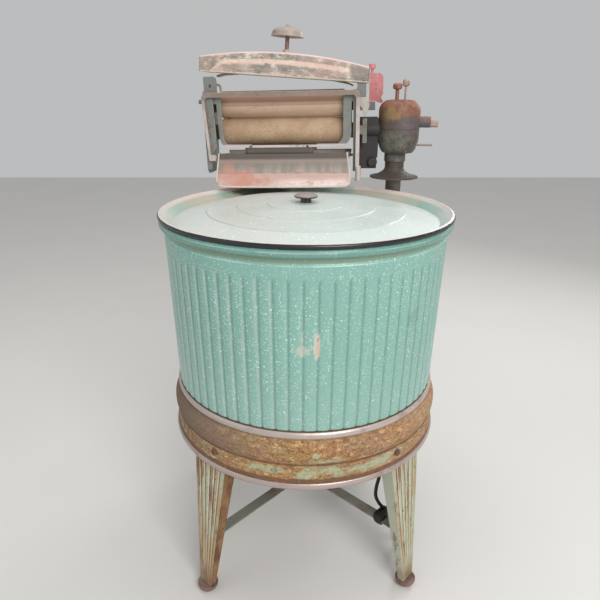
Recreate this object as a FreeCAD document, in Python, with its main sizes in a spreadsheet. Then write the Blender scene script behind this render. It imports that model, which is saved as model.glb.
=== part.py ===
import FreeCAD, Part
import Sketcher
import math
import os

# Electric wringer washing machine: a fluted enamel tub with a loose lid on a banded skirt and
# four pressed legs, with a power wringer that swings on a post at the rear right.
# Millimetres, +Z up, origin on the tub's axis at floor level, -Y is the front.

Vector, Rotation, Placement = FreeCAD.Vector, FreeCAD.Rotation, FreeCAD.Placement
X, Y, Z = Vector(1, 0, 0), Vector(0, 1, 0), Vector(0, 0, 1)
ORIGIN = Vector(0, 0, 0)

doc = FreeCAD.newDocument("wringer_washer")

# ---------------------------------------------------------------- driving dimensions

DIMENSIONS = {
    "tub_radius": (293, "tub outside, just under its rolled rim"),
    "tub_foot_radius": (284, "tub outside, at its floor"),
    "tub_floor": (447, "height of the tub's floor"),
    "tub_top": (802, "height of the tub's rolled rim"),
    "sheet_metal": (2, "thickness of pressed sheet"),
    "flute_top": (752, "height where the flutes run out"),
    "flute_depth": (2.4, "depth of a flute's groove"),
    "rim_radius": (303.6, "outside of the tub's rolled rim"),
    "lid_radius": (305, "outside of the lid's rolled edge"),
    "lid_dome": (822, "height of the lid at its middle"),
    "knob_radius": (25, "lid knob"),
    "skirt_radius": (297, "skirt band at its fullest"),
    "skirt_waist": (294, "skirt band at its waist"),
    "upper_bead_radius": (288, "aluminium bead under the tub"),
    "lower_bead_radius": (299, "aluminium bead under the skirt"),
    "leg_top": (342, "height of a leg's top, inside the skirt"),
    "leg_foot": (20, "height of a leg's bottom end"),
    "leg_top_reach": (284, "tub axis to a leg's face, at its top"),
    "leg_foot_reach": (319, "tub axis to a leg's face, at its bottom"),
    "leg_top_width": (100, "leg face at its top"),
    "leg_foot_width": (36, "leg face at its bottom"),
    "leg_top_depth": (30, "leg flanges at the top"),
    "leg_foot_depth": (14, "leg flanges at the bottom"),
    "glide_reach": (312.5, "tub axis to a foot glide"),
    "glide_radius": (22, "foot glide"),
    "brace_height": (134, "underside of the lower brace bar"),
    "brace_width": (25, "brace bar"),
    "brace_thick": (3, "brace bar"),
    "gearcase_radius": (104, "gearcase under the tub"),
    "drive_height": (252, "underside of the belt pulleys"),
    "big_pulley_radius": (108, "gearcase pulley"),
    "small_pulley_radius": (27, "motor pulley"),
    "motor_radius": (70, "motor shell"),
    "motor_across": (159, "motor axis, to the right of the tub axis"),
    "motor_forward": (92, "motor axis, in front of the tub axis"),
    "shaft_radius": (8, "drive shafts"),
    "agitator_radius": (160, "agitator skirt"),
    "agitator_top": (700, "height of the agitator's cap"),
    "post_across": (232.3, "wringer post, to the right of the tub axis"),
    "post_back": (254.2, "wringer post, behind the tub axis"),
    "post_radius": (19.2, "wringer post tube"),
    "cross_height": (385, "cross shaft from the gearcase to the post"),
    "collar_bottom": (837, "underside of the post's collar"),
    "collar_radius": (60, "post collar"),
    "head_bottom": (877, "underside of the wringer head's neck"),
    "head_seam": (954, "joint between the head's two halves"),
    "head_top": (1021, "top of the wringer head"),
    "head_radius": (50, "wringer head"),
    "head_offset": (5, "head casting, off the post's axis"),
    "wringer_yaw": (-8, "degrees that the wringer stands from square"),
    "wringer_sag": (1.45, "degrees that the wringer's free end sags"),
    "wringer_reach": (280.5, "post axis to the middle of the rolls"),
    "nip_height": (977.5, "height of the line between the rolls"),
    "roll_length": (305, "rubber rolls, twelve inch"),
    "roll_radius": (31.8, "rubber rolls"),
    "roll_gap": (0.4, "gap at the nip with the pressure off"),
    "journal_radius": (9, "roll shafts"),
    "running_fit": (0.06, "radial clearance of turning shafts"),
    "frame_left": (-180, "inside face of the left end frame"),
    "frame_right": (174.5, "inside face of the right end frame"),
    "frame_top": (62, "top of the end frames, above the nip"),
    "frame_bottom": (-128, "bottom of the end frames, below the nip"),
    "cover_left": (-189, "left end of the top cover, shut"),
    "cover_right": (207.5, "right end of the top cover, shut"),
    "cover_bottom": (75.7, "edge of the top cover, shut"),
    "cover_end_top": (110, "top of the cover at its ends"),
    "cover_crown": (136, "top of the cover at its middle"),
    "cover_depth": (110, "cover, front to back"),
    "cover_open": (4.95, "degrees that the released cover stands open"),
    "hinge_across": (199, "cover hinge, from the middle of the rolls"),
    "hinge_up": (84, "cover hinge, above the nip"),
    "screw_across": (8, "pressure screw, from the middle of the rolls"),
    "board_width": (334, "drainboards"),
    "cord_diameter": (8, "mains cord"),
    "coil_radius": (44, "middle of the stored cord's turns"),
}

sheet = doc.addObject("Spreadsheet::Sheet", "dims")
for row, (alias, (number, meaning)) in enumerate(DIMENSIONS.items(), start=1):
    sheet.set(f"A{row}", meaning)
    sheet.set(f"B{row}", str(number))
    sheet.setAlias(f"B{row}", alias)
doc.recompute()


class Size:
    """A length that carries both its number and the sheet expression that drives it."""

    def __init__(self, text, number):
        self.text, self.number = text, number

    def _with(self, sign, other, number):
        return Size(f"({self.text} {sign} {text_of(other)})", number)

    def __add__(self, other):
        return self._with("+", other, self.number + number_of(other))

    def __sub__(self, other):
        return self._with("-", other, self.number - number_of(other))

    def __mul__(self, other):
        return self._with("*", other, self.number * number_of(other))

    def __truediv__(self, other):
        return self._with("/", other, self.number / number_of(other))

    def __neg__(self):
        return Size(f"(-1 * {self.text})", -self.number)

    def __radd__(self, other):
        return self + other

    def __rsub__(self, other):
        return -self + other


def text_of(value):
    return value.text if isinstance(value, Size) else repr(value)


def number_of(value):
    return value.number if isinstance(value, Size) else float(value)


def dim(alias):
    return Size(f"dims.{alias}", float(DIMENSIONS[alias][0]))


# ---------------------------------------------------------------- building blocks


def bind(thing, **sizes):
    """Sets each property, and ties it to the sheet where its size comes from there."""
    for name, value in sizes.items():
        setattr(thing, name, number_of(value))
        if isinstance(value, Size):
            thing.setExpression(name, value.text)
    return thing


def vec(x, y, z):
    return Vector(number_of(x), number_of(y), number_of(z))


def turn_to(axis):
    return Rotation(Z, axis)


def cylinder(name, radius, length, at=ORIGIN, axis=Z):
    thing = doc.addObject("Part::Cylinder", name)
    thing.Placement = Placement(at, turn_to(axis))
    return bind(thing, Radius=radius, Height=length)


def cone(name, start_radius, end_radius, length, at=ORIGIN, axis=Z):
    thing = doc.addObject("Part::Cone", name)
    thing.Placement = Placement(at, turn_to(axis))
    return bind(thing, Radius1=start_radius, Radius2=end_radius, Height=length)


def ball(name, radius, at=ORIGIN):
    thing = doc.addObject("Part::Sphere", name)
    thing.Placement = Placement(at, Rotation())
    return bind(thing, Radius=radius)


def block(name, low, high, tilt=None):
    """A box between two corners; each corner is three sizes."""
    thing = doc.addObject("Part::Box", name)
    thing.Placement = Placement(vec(*low), Rotation())
    spans = [far - near if isinstance(far, Size) else number_of(far) - number_of(near)
             for near, far in zip(low, high)]
    bind(thing, Length=spans[0], Width=spans[1], Height=spans[2])
    if tilt is not None:
        thing.Placement = tilt.multiply(thing.Placement)
    return thing


def fuse(name, *parts):
    thing = doc.addObject("Part::MultiFuse", name)
    thing.Shapes = list(parts)
    thing.Refine = True
    return thing


def cut(name, base, *tools):
    thing = doc.addObject("Part::Cut", name)
    thing.Base = base
    thing.Tool = tools[0] if len(tools) == 1 else fuse(name + "_tools", *tools)
    return thing


def common(name, *parts):
    thing = doc.addObject("Part::MultiCommon", name)
    thing.Shapes = list(parts)
    return thing


def group(name, *parts):
    """Separate solids kept together in one node."""
    thing = doc.addObject("Part::Compound", name)
    thing.Links = list(parts)
    return thing


def bulged(start, end, radius):
    """An arc from start to end, bulging to the left for a radius above zero, else to the right."""
    chord = end - start
    half = chord.Length / 2
    rise = abs(radius) - math.sqrt(max(radius * radius - half * half, 0))
    left = Vector(-chord.y, chord.x, 0).normalize()
    middle = (start + end) * 0.5 + left * math.copysign(rise, radius)
    return Part.Arc(start, middle, end)


def draw(sketch, corners):
    """Closes an outline through corners (x, y) or (x, y, radius of the arc that leaves it)."""
    points = [vec(corner[0], corner[1], 0) for corner in corners]
    count = len(points)
    for index, corner in enumerate(corners):
        start, end = points[index], points[(index + 1) % count]
        is_arc = len(corner) == 3
        edge = bulged(start, end, number_of(corner[2])) if is_arc else Part.LineSegment(start, end)
        sketch.addGeometry(edge, False)

    def vertex(edge, point):
        near_start = sketch.getPoint(edge, 1).distanceToPoint(point)
        near_end = sketch.getPoint(edge, 2).distanceToPoint(point)
        return 1 if near_start <= near_end else 2

    rules, bindings = [], []
    for index, corner in enumerate(corners):
        before = (index - 1) % count
        here, there = vertex(index, points[index]), vertex(before, points[index])
        rules.append(Sketcher.Constraint("Coincident", before, there, index, here))
        for kind, axis_line, value in (("DistanceX", -2, corner[0]), ("DistanceY", -1, corner[1])):
            if abs(number_of(value)) < 1e-9:
                rules.append(Sketcher.Constraint("PointOnObject", index, here, axis_line))
                continue
            rules.append(Sketcher.Constraint(kind, -1, 1, index, here, number_of(value)))
            if isinstance(value, Size):
                bindings.append((len(rules) - 1, value.text))
        if len(corner) == 3:
            rules.append(Sketcher.Constraint("Radius", index, abs(number_of(corner[2]))))
    sketch.addConstraint(rules)
    for index, text in bindings:
        sketch.setExpression(f"Constraints[{index}]", text)


def body_with_sketch(name, plane, corners):
    body = doc.addObject("PartDesign::Body", name)
    sketch = body.newObject("Sketcher::SketchObject", name + "_outline")
    planes = {feature.Role: feature for feature in body.Origin.OriginFeatures}
    sketch.AttachmentSupport = [(planes[plane], "")]
    sketch.MapMode = "FlatFace"
    draw(sketch, corners)
    return body, sketch


def turned(name, corners, at=ORIGIN, axis=Z):
    """A body turned about its own Z axis from an outline of (radius, height) corners."""
    body, sketch = body_with_sketch(name, "XZ_Plane", corners)
    feature = body.newObject("PartDesign::Revolution", name + "_turned")
    feature.Profile = sketch
    feature.ReferenceAxis = (sketch, ["V_Axis"])
    feature.Angle = 360
    body.Placement = Placement(at, turn_to(axis))
    return body


def pressed(name, plane, corners, thickness, offset=0, both_ways=False):
    """A body padded from an outline drawn on one of its own origin planes."""
    body, sketch = body_with_sketch(name, plane, corners)
    feature = body.newObject("PartDesign::Pad", name + "_pad")
    feature.Profile = sketch
    bind(feature, Length=thickness)
    feature.Midplane = both_ways
    normal = {"XY_Plane": Z, "XZ_Plane": -Y, "YZ_Plane": X}[plane]
    body.Placement = Placement(normal * number_of(offset), Rotation())
    return body


# ---------------------------------------------------------------- places that parts share

POST = vec(dim("post_across"), dim("post_back"), 0)
POST_OUT = Vector(POST.x, POST.y, 0).normalize()
POST_REACH = POST.Length
YAW = Rotation(Z, number_of(dim("wringer_yaw")))
HEAD = Placement(POST, YAW)
SAG = Rotation(Y, -number_of(dim("wringer_sag")))
NIP = HEAD.multVec(vec(-dim("wringer_reach"), 0, dim("nip_height")))
WRINGER = Placement(NIP, YAW.multiply(SAG))
HEAD_SEEN = WRINGER.inverse().multiply(HEAD)
HINGE = vec(dim("hinge_across"), 0, dim("hinge_up"))
COVER_SWING = Placement(ORIGIN, Rotation(Y, number_of(dim("cover_open"))), HINGE)
COVER = WRINGER.multiply(COVER_SWING)
MOTOR = vec(dim("motor_across"), -dim("motor_forward"), 0)
HERE = Placement()

parts = {}


def keep(name, thing, frame=HERE):
    """Labels a finished sub-part and puts it in the frame of the assembly that carries it."""
    thing.Placement = frame.multiply(thing.Placement)
    thing.Label = name
    parts[name] = thing


# ---------------------------------------------------------------- tub and lid

FLUTES = 69
FLUTE_START = math.radians(0.9)


def fluted_ring(name, radius, height, depth):
    """A closed wire of shallow outward arcs that meet in narrow grooves."""
    edges = []
    step = 2 * math.pi / FLUTES
    for index in range(FLUTES):
        angles = [FLUTE_START + (index + part) * step for part in (0, 0.5, 1)]
        reaches = [radius - depth, radius, radius - depth]
        ends = [Vector(reach * math.cos(angle), reach * math.sin(angle), height)
                for angle, reach in zip(angles, reaches)]
        edges.append(Part.Arc(*ends).toShape())
    thing = doc.addObject("Part::Feature", name)
    thing.Shape = Part.Wire(edges)
    return thing


def make_tub():
    wall = number_of(dim("sheet_metal"))
    foot, rim = number_of(dim("tub_foot_radius")), number_of(dim("tub_radius"))
    floor, top = number_of(dim("tub_floor")), number_of(dim("tub_top"))
    flutes = doc.addObject("Part::Loft", "tub_flutes")
    flutes.Sections = [
        fluted_ring("flutes_low", foot, floor + 4, number_of(dim("flute_depth"))),
        fluted_ring("flutes_high", rim - 0.5, number_of(dim("flute_top")), number_of(dim("flute_depth"))),
    ]
    flutes.Solid, flutes.Ruled = True, True
    base = turned("tub_base", [
        (0, dim("tub_floor")), (foot - 7, dim("tub_floor"), -4.2),
        (foot - 3, floor + 4), (foot - 3, floor + 8), (0, floor + 8),
    ])
    neck = turned("tub_neck", [
        (0, dim("flute_top") - 1), (rim - 3, dim("flute_top") - 1), (dim("tub_radius"), top - 35),
        (dim("tub_radius"), top - 17), (dim("rim_radius") - 4, top - 17, -11),
        (dim("rim_radius") - 4, dim("tub_top")), (0, dim("tub_top")),
    ])
    inside = turned("tub_inside", [
        (0, dim("tub_floor") + wall), (foot - 11, dim("tub_floor") + wall),
        (foot - 5, floor + 8), (rim - 4.5, dim("flute_top")), (291, top - 20),
        (291, top + 5), (0, top + 5),
    ])
    drain = cylinder("tub_drain_hole", 14, 20, Vector(-150, -120, floor - 10))
    centre = cylinder("tub_centre_hole", 22, 20, Vector(0, 0, floor - 10))
    keep("tub", cut("tub_shell", fuse("tub_blank", flutes, base, neck), inside, drain, centre))


def make_lid():
    radius, dome, seat = dim("lid_radius"), dim("lid_dome"), dim("tub_top")
    wall = 1.6
    body = turned("lid_pressing", [
        (0, dome), (80, dome - 2), (82, dome - 3.4), (144, dome - 6.5), (146, dome - 8),
        (206, dome - 13.5), (208, dome - 15), (266, dome - 27), (276, seat - 9.6),
        (289, seat + 1.4), (299, seat + 9.9, 5.1), (radius, seat + 5.2, 5.1), (299, seat + 0.3),
        (290, seat + 0.3), (277, seat - 11.4), (266, dome - 27 - wall), (208, dome - 15 - wall),
        (206, dome - 13.5 - wall), (146, dome - 8 - wall), (144, dome - 6.5 - wall),
        (82, dome - 3.4 - wall), (80, dome - 2 - wall), (0, dome - wall),
    ])
    keep("lid", body)
    knob = turned("lid_knob_turned", [
        (0, dome), (12, dome), (11, dome + 7), (dim("knob_radius") - 1, dome + 10.5, -3),
        (dim("knob_radius") - 1.5, dome + 15, -60), (4, dome + 20), (0, dome + 20),
    ])
    keep("lid_knob", knob)


# ---------------------------------------------------------------- skirt, beads, legs, braces


LEG_BOLTS = (230.4, 306.6, 129.6, 37)
BOLT_LEVEL = 366


def outward(angle):
    return Rotation(Z, angle).multVec(X)


def leg_bolt_ways(name):
    """The holes for the bolts that hold the legs inside the skirt."""
    return [cylinder(f"{name}_leg_way_{angle:.0f}", 4, 40, outward(angle) * 270 + Z * BOLT_LEVEL,
                     outward(angle)) for angle in LEG_BOLTS]


def post_bolt_seats():
    """Where the two bolts of the post's foot stand, on the outer face of its flange."""
    across = Z.cross(POST_OUT)
    level = Z * number_of(dim("cross_height"))
    return [POST_OUT * (POST_REACH - 36) + across * side * 37 + level for side in (-1, 1)]


def post_bolt_ways(name):
    return [cylinder(f"{name}_post_way_{side}", 4, 40, seat - POST_OUT * 30, POST_OUT)
            for side, seat in enumerate(post_bolt_seats())]


def make_skirt():
    full, waist = dim("skirt_radius"), dim("skirt_waist")
    wall = dim("sheet_metal") * 0.75
    body = turned("skirt_band", [
        (262, 446.9), (full - 13, 446.9), (full - 13, 430, 60), (full, 406, 60), (full - 1, 388),
        (full - 3.6, 382),
        (waist, 376), (waist, 357), (full - 1.5, 347), (full - 1.5, 340), (292, 339), (292, 326),
        (292 - wall, 326), (292 - wall, 341), (full - 1.5 - wall, 342), (full - 1.5 - wall, 346.5),
        (waist - wall, 356.5), (waist - wall, 376.4), (full - 3.6 - wall, 382.4),
        (full - 1 - wall, 388.4, -60), (full - wall, 406, -60), (full - 13 - wall, 429.5),
        (full - 13 - wall, 445.4), (262, 445.4),
    ])
    start = POST_OUT * (POST_REACH - 80) + Z * number_of(dim("cross_height"))
    hole = cylinder("skirt_shaft_hole", 14, 60, start, POST_OUT)
    ways = leg_bolt_ways("skirt") + post_bolt_ways("skirt")
    keep("skirt", cut("skirt_drilled", body, hole, *ways))
    for name, radius, low, high, inner in (
        ("skirt_upper_bead", dim("upper_bead_radius"), 431.6, 446.4, dim("skirt_radius") - 12.95),
        ("skirt_lower_bead", dim("lower_bead_radius"), 326, 338.9, 292.05),
    ):
        bead = turned(name + "_turned", [
            (inner, low), (radius - 3, low, -9.5), (radius - 3, high), (inner, high),
        ])
        keep(name, bead)


GROOVES = 5


def channel_outline(width, depth, wall=3.2, groove=1.9):
    """A leg's section: a grooved face towards +X, two flanges running back from it."""
    half = width / 2
    spacing = (width - 2 * wall) / (GROOVES + 0.6)
    outline = [(-depth, -half), (0, -half)]
    for index in range(GROOVES):
        middle = (index - (GROOVES - 1) / 2) * spacing
        lip = spacing * 0.26
        outline += [(0, middle - lip), (-groove, middle), (0, middle + lip)]
    outline += [(0, half), (-depth, half), (-depth, half - wall), (-wall, half - wall),
                (-wall, wall - half), (-depth, wall - half)]
    return outline


def make_legs():
    places = {"leg_front_left": 225, "leg_front_right": 315, "leg_rear_left": 135, "leg_rear_right": 45}
    glides = []
    for name, angle in places.items():
        swing = Placement(ORIGIN, Rotation(Z, angle))
        sections = []
        for end in ("top", "foot"):
            section = doc.addObject("Sketcher::SketchObject", f"{name}_{end}")
            width, depth = (number_of(dim(f"leg_{end}_{side}")) for side in ("width", "depth"))
            draw(section, channel_outline(width, depth))
            height = dim("leg_top") if end == "top" else dim("leg_foot")
            reach = dim(f"leg_{end}_reach")
            section.Placement = Placement(vec(reach, 0, height), Rotation())
            section.setExpression("Placement.Base.x", reach.text)
            section.setExpression("Placement.Base.z", height.text)
            sections.append(section)
        leg = doc.addObject("Part::Loft", name + "_loft")
        leg.Sections = sections
        leg.Solid, leg.Ruled = True, True
        leg.Placement = swing
        lug = block(name + "_lug", (276, -46, number_of(dim("leg_top")) - 0.5), (296, 46, 376), swing)
        fit = cylinder(name + "_lug_fit", dim("skirt_waist") - 1.6, 60, Z * 330)
        rim = block(name + "_lug_rim", (282, -60, 330), (300, 60, 347), swing)
        tab = cut(name + "_tab", common(name + "_lug_fitted", lug, fit), rim)
        keep(name, cut(name + "_drilled", fuse(name + "_tabbed", leg, tab), *leg_bolt_ways(name)))
        radius = dim("glide_radius")
        glide = turned(name + "_glide", [
            (0, 0), (9, 0, -19), (radius, 14), (radius, 19), (0, 19),
        ])
        glide.Placement = swing.multiply(Placement(vec(dim("glide_reach"), 0, 0), Rotation()))
        glides.append(glide)
    keep("foot_glides", group("glide_set", *glides))


def make_braces():
    width, thick, low = dim("brace_width"), dim("brace_thick"), dim("brace_height")
    reach = 300
    for name, angle, level in (("brace_bar_left", 45, 0), ("brace_bar_right", -45, 1)):
        bottom = low + thick * level
        bar = block(name + "_flat", (-reach, -width / 2, bottom), (reach, width / 2, bottom + thick))
        hole = cylinder(name + "_hole", 4, 20, Vector(0, 0, number_of(low) - 5))
        keep(name, cut(name + "_drilled", bar, hole), Placement(ORIGIN, Rotation(Z, angle)))


def hex_bolt(name, at, axis, across=13, head=4.5, shank=0, shank_radius=3.9):
    """A hexagon head standing on a surface at a point, its shank running back into it."""
    prism = doc.addObject("Part::Prism", name)
    prism.Polygon = 6
    bind(prism, Circumradius=across / math.sqrt(3), Height=head)
    prism.Placement = Placement(at, turn_to(axis))
    if not shank:
        return prism
    return fuse(name + "_bolt", prism, cylinder(name + "_shank", shank_radius, shank, at, -axis))


def make_frame_bolts():
    bolts = []
    for angle in LEG_BOLTS:
        out = outward(angle)
        at = out * number_of(dim("skirt_waist")) + Z * BOLT_LEVEL
        bolts.append(hex_bolt(f"leg_bolt_{angle:.0f}", at, out, shank=22))
    for side, seat in enumerate(post_bolt_seats()):
        bolts.append(hex_bolt(f"post_bolt_{side}", seat, POST_OUT, shank=24))
    low, thick = number_of(dim("brace_height")), number_of(dim("brace_thick"))
    bolts.append(hex_bolt("brace_bolt", Vector(0, 0, low), -Z, shank=2 * thick + 6))
    keep("frame_bolts", group("frame_bolt_set", *bolts))


# ---------------------------------------------------------------- drive under the tub


def make_gearcase():
    radius, floor = dim("gearcase_radius"), dim("tub_floor")
    case = turned("gearcase_casting", [
        (0, 292), (radius - 24, 292, -18), (radius - 8, 302), (radius - 8, 352), (radius, 352),
        (radius, 364), (radius - 6, 364, -80), (radius - 20, 412), (78, floor - 8),
        (78, floor - 0.1), (0, floor - 0.1),
    ])
    bore = cylinder("gearcase_bore", dim("journal_radius") + 1 + dim("running_fit"), 60,
                    Vector(0, 0, 400))
    cavity = turned("gearcase_cavity", [
        (0, 300), (radius - 30, 300), (radius - 16, 309), (radius - 16, 366), (radius - 28, 408),
        (68, floor - 23), (0, floor - 23),
    ])
    spindle = cylinder("gearcase_spindle", 10, 59, Vector(0, 0, 240))
    side = cylinder("gearcase_side_bore", dim("shaft_radius") + dim("running_fit"), 60,
                    POST_OUT * 62 + Z * number_of(dim("cross_height")), POST_OUT)
    keep("gearcase", cut("gearcase_bored", fuse("gearcase_blank", case, spindle), cavity, bore, side))


def pulley(name, radius, at, bore):
    low = dim("drive_height")
    wheel = turned(name + "_turned", [
        (bore, low), (radius, low), (radius, low + 4), (radius - 9, low + 8), (radius - 9, low + 12),
        (radius, low + 16), (radius, low + 20), (bore, low + 20),
    ], at)
    return wheel


def make_drive():
    fit, low = dim("running_fit"), dim("drive_height")
    keep("driven_pulley", pulley("driven_pulley", dim("big_pulley_radius"), ORIGIN, fit + 10))
    keep("motor_pulley", pulley("motor_pulley", dim("small_pulley_radius"), MOTOR,
                                dim("shaft_radius") + fit))
    # An open belt: straight flights on the common tangents of the two pulleys.
    distance = MOTOR.Length
    out = Vector(MOTOR.x, MOTOR.y, 0).normalize()
    bodies = {}
    for label, grow in (("outer", 0), ("inner", -8)):
        big_radius = number_of(dim("big_pulley_radius")) + grow
        small_radius = number_of(dim("small_pulley_radius")) + grow
        lean = math.acos((big_radius - small_radius) / distance)
        tangents = []
        for sign in (1, -1):
            normal = Rotation(Z, math.degrees(sign * lean)).multVec(out)
            tangents.append((normal * big_radius, MOTOR + normal * small_radius))
        (upper_big, upper_small), (lower_big, lower_small) = tangents
        wire = Part.Wire([
            Part.Arc(upper_big, -out * big_radius, lower_big).toShape(),
            Part.makeLine(lower_big, lower_small),
            Part.Arc(lower_small, MOTOR + out * small_radius, upper_small).toShape(),
            Part.makeLine(upper_small, upper_big),
        ])
        thing = doc.addObject("Part::Feature", f"belt_{label}")
        thing.Shape = Part.Face(wire).extrude(Z * 3.4)
        thing.Placement = Placement(Z * (number_of(low) + 8.3), Rotation())
        bodies[label] = thing
    keep("drive_belt", cut("belt_loop", bodies["outer"], bodies["inner"]))


def make_motor():
    radius, floor = dim("motor_radius"), dim("tub_floor")
    shell = turned("motor_shell", [
        (0, 290), (radius - 26, 290, -20), (radius - 8, 298), (radius - 8, 312), (radius, 312),
        (radius, 404), (radius - 8, 404, -20), (radius - 24, 420), (24, 424), (24, floor - 0.1),
        (0, floor - 0.1),
    ])
    spindle = cylinder("motor_spindle", dim("shaft_radius"), 46, Vector(0, 0, 246))
    keep("motor", fuse("motor_assembled", shell, spindle), Placement(MOTOR, Rotation()))


def make_agitator():
    floor, top = dim("tub_floor"), dim("agitator_top")
    radius, fit = dim("agitator_radius"), dim("running_fit")
    tube = turned("centre_tube_turned", [
        (fit + 10, floor + 2), (32, floor + 2), (32, floor + 8), (21, floor + 12), (18, 600),
        (fit + 10, 600),
    ])
    keep("centre_tube", tube)
    keep("agitator_shaft", cylinder("agitator_shaft_rod", 10, top - 60 - 410, Vector(0, 0, 410)))
    skirt = turned("agitator_casting", [
        (0, top), (0, 640), (10, 640), (10, 610), (26, 610), (30, 476), (radius - 12, 462),
        (radius, 462), (radius, 468), (radius - 14, 472, 160), (46, 520, 900), (30, 680),
        (24, top - 6, -50), (4, top),
    ])
    vanes = []
    for index in range(4):
        vane = pressed(f"agitator_vane_{index}", "XZ_Plane", [
            (26, 480), (radius - 16, 469), (radius - 24, 500), (72, 560), (48, 660), (28, 672),
        ], 8, both_ways=True)
        vane.Placement = Placement(ORIGIN, Rotation(Z, 45 + 90 * index))
        vanes.append(vane)
    keep("agitator", fuse("agitator_vaned", skirt, *vanes))


def make_drain():
    floor = number_of(dim("tub_floor"))
    at = Vector(-150, -120, floor - 10)
    flange = cylinder("drain_flange", 24, 10, at)
    stem = cylinder("drain_stem", 13.9, 64, at - Z * 50)
    out = Vector(-1, -0.8, 0).normalize()
    branch = cylinder("drain_branch", 12, 44, at - Z * 40, out)
    nut = cylinder("drain_cap", 17, 16, at - Z * 40 + out * 36, out)
    waterway = cylinder("drain_waterway", 10, 40, at - Z * 22)
    keep("drain_elbow", cut("drain_bored", fuse("drain_blank", flange, stem, branch, nut), waterway))


# Bevel gears are plain cones: the back of each stands GEAR_BACK from the point where the axes meet.
GEAR_BACK, GEAR_FACE = 22, 10
GEAR_WIDE, GEAR_NARROW = GEAR_BACK - 1.2, GEAR_BACK - GEAR_FACE - 1.2


def make_cross_shaft():
    """The shaft from the gearcase to the foot of the post, with a bevel gear at its outer end."""
    level = Z * number_of(dim("cross_height"))
    rod = cylinder("cross_rod", dim("shaft_radius"), POST_REACH - 16 - 64, POST_OUT * 64 + level,
                   POST_OUT)
    gear = cone("cross_gear", GEAR_WIDE, GEAR_NARROW, GEAR_FACE, POST_OUT * (POST_REACH - GEAR_BACK) + level,
                POST_OUT)
    keep("cross_shaft", fuse("cross_assembled", rod, gear))


# ---------------------------------------------------------------- wringer post


def make_post():
    fit, radius = dim("running_fit"), dim("post_radius")
    level = number_of(dim("cross_height"))
    casting = turned("post_base_casting", [
        (0, 345), (38, 345, -6), (42, 351), (42, 419, -6), (38, 425), (29, 432), (27, 470), (0, 470),
    ], POST)
    flange = block("post_base_flange", (-60, -46, 350), (-36, 46, 420),
                   Placement(POST, Rotation(X, POST_OUT)))
    cavity = cylinder("post_base_cavity", 34, 66, POST + Z * 352)
    socket = cylinder("post_socket", radius, 60, POST + Z * 426)
    throat = cylinder("post_throat", 12, 10, POST + Z * 417)
    shaft_way = cylinder("post_shaft_way", dim("shaft_radius") + fit, 60,
                         POST_OUT * (POST_REACH - 70) + Z * level, POST_OUT)
    skirt_space = cylinder("post_skirt_space", dim("skirt_radius") + 0.3, 200, Z * 300)
    keep("post_base", cut("post_base_bored", fuse("post_base_blank", casting, flange), cavity, socket,
                          throat, shaft_way, skirt_space, *post_bolt_ways("post_base")))
    tube = turned("post_tube", [(15, 426), (radius, 426), (radius, 905), (15, 905)], POST)
    keep("wringer_post", tube)
    collar = turned("post_collar_turned", [
        (radius, dim("collar_bottom")), (dim("collar_radius"), dim("collar_bottom")),
        (dim("collar_radius"), 840, 60), (27, 854), (23.5, 860), (23.5, dim("head_bottom") - 0.5),
        (radius, dim("head_bottom") - 0.5),
    ], POST)
    keep("post_collar", collar)
    apex = number_of(dim("nip_height")) + 7.1 - number_of(dim("roll_radius"))
    low_end, high_end = level + GEAR_BACK - GEAR_FACE, apex - GEAR_BACK
    rod = cylinder("post_rod", dim("shaft_radius"), high_end - low_end, POST + Z * low_end)
    low_gear = cone("post_low_gear", GEAR_NARROW, GEAR_WIDE, GEAR_FACE, POST + Z * low_end)
    high_gear = cone("post_high_gear", GEAR_WIDE, GEAR_NARROW, GEAR_FACE, POST + Z * high_end)
    keep("post_drive_shaft", fuse("post_shaft_assembled", rod, low_gear, high_gear))


# ---------------------------------------------------------------- wringer head


def make_head():
    """Upper and lower half castings round the post; heights are above the floor."""
    radius, seam, top, low = dim("head_radius"), dim("head_seam"), dim("head_top"), dim("head_bottom")
    offset = dim("head_offset")
    shaft_way = lambda name: cylinder(
        name, 15, 60, vec(-80, 0, dim("nip_height") - dim("roll_radius") + 5.7), X)
    shell = turned("head_lower_casting", [
        (0, 898), (37, 898, -40), (46, 914, -70), (radius, 936), (radius, seam - 0.1), (0, seam - 0.1),
    ], vec(offset, 0, 0))
    neck = cylinder("head_neck", 26, 24, vec(0, 0, low))
    hollow = cylinder("head_lower_hollow", radius - 8, 70, vec(offset, 0, 908))
    bore = cylinder("head_bore", dim("post_radius") + dim("running_fit"), 60, vec(0, 0, low - 5))
    slot = block("head_lock_slot", (28, -20, 911.5), (70, 20, 920.5))
    pivot = cylinder("head_lock_pivot", dim("running_fit") + 3, 12, vec(36, 0, 900))
    keep("head_housing", cut("head_housing_bored", fuse("head_lower_blank", shell, neck), hollow, bore,
                             slot, pivot, shaft_way("head_low_way")), HEAD)
    cap = turned("head_upper_casting", [
        (0, seam), (radius, seam), (radius, 996, -26), (31, top - 1), (22, top), (0, top),
    ], vec(offset, 0, 0))
    boss = cylinder("head_boss", 13, 34, Vector(46, 0, 970), X)
    dome = turned("head_upper_hollow", [
        (0, seam - 5), (radius - 7, seam - 5), (radius - 7, 992, -26), (26, 1012), (0, 1012),
    ], vec(offset, 0, 0))
    stem_way = cylinder("shift_stem_way", dim("shaft_radius") - 3.5 + dim("running_fit"), 60,
                        Vector(-3.6, 0, 990))
    plunger_way = cylinder("plunger_way", dim("running_fit") + 2.5, 60, Vector(16, 0, 990))
    plug_way = cylinder("plug_way", 7.7, 60, Vector(40, 0, 966), X)
    keep("head_cap", cut("head_cap_bored", fuse("head_upper_blank", cap, boss), dome, stem_way,
                         plunger_way, plug_way, shaft_way("head_high_way")), HEAD)


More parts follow.
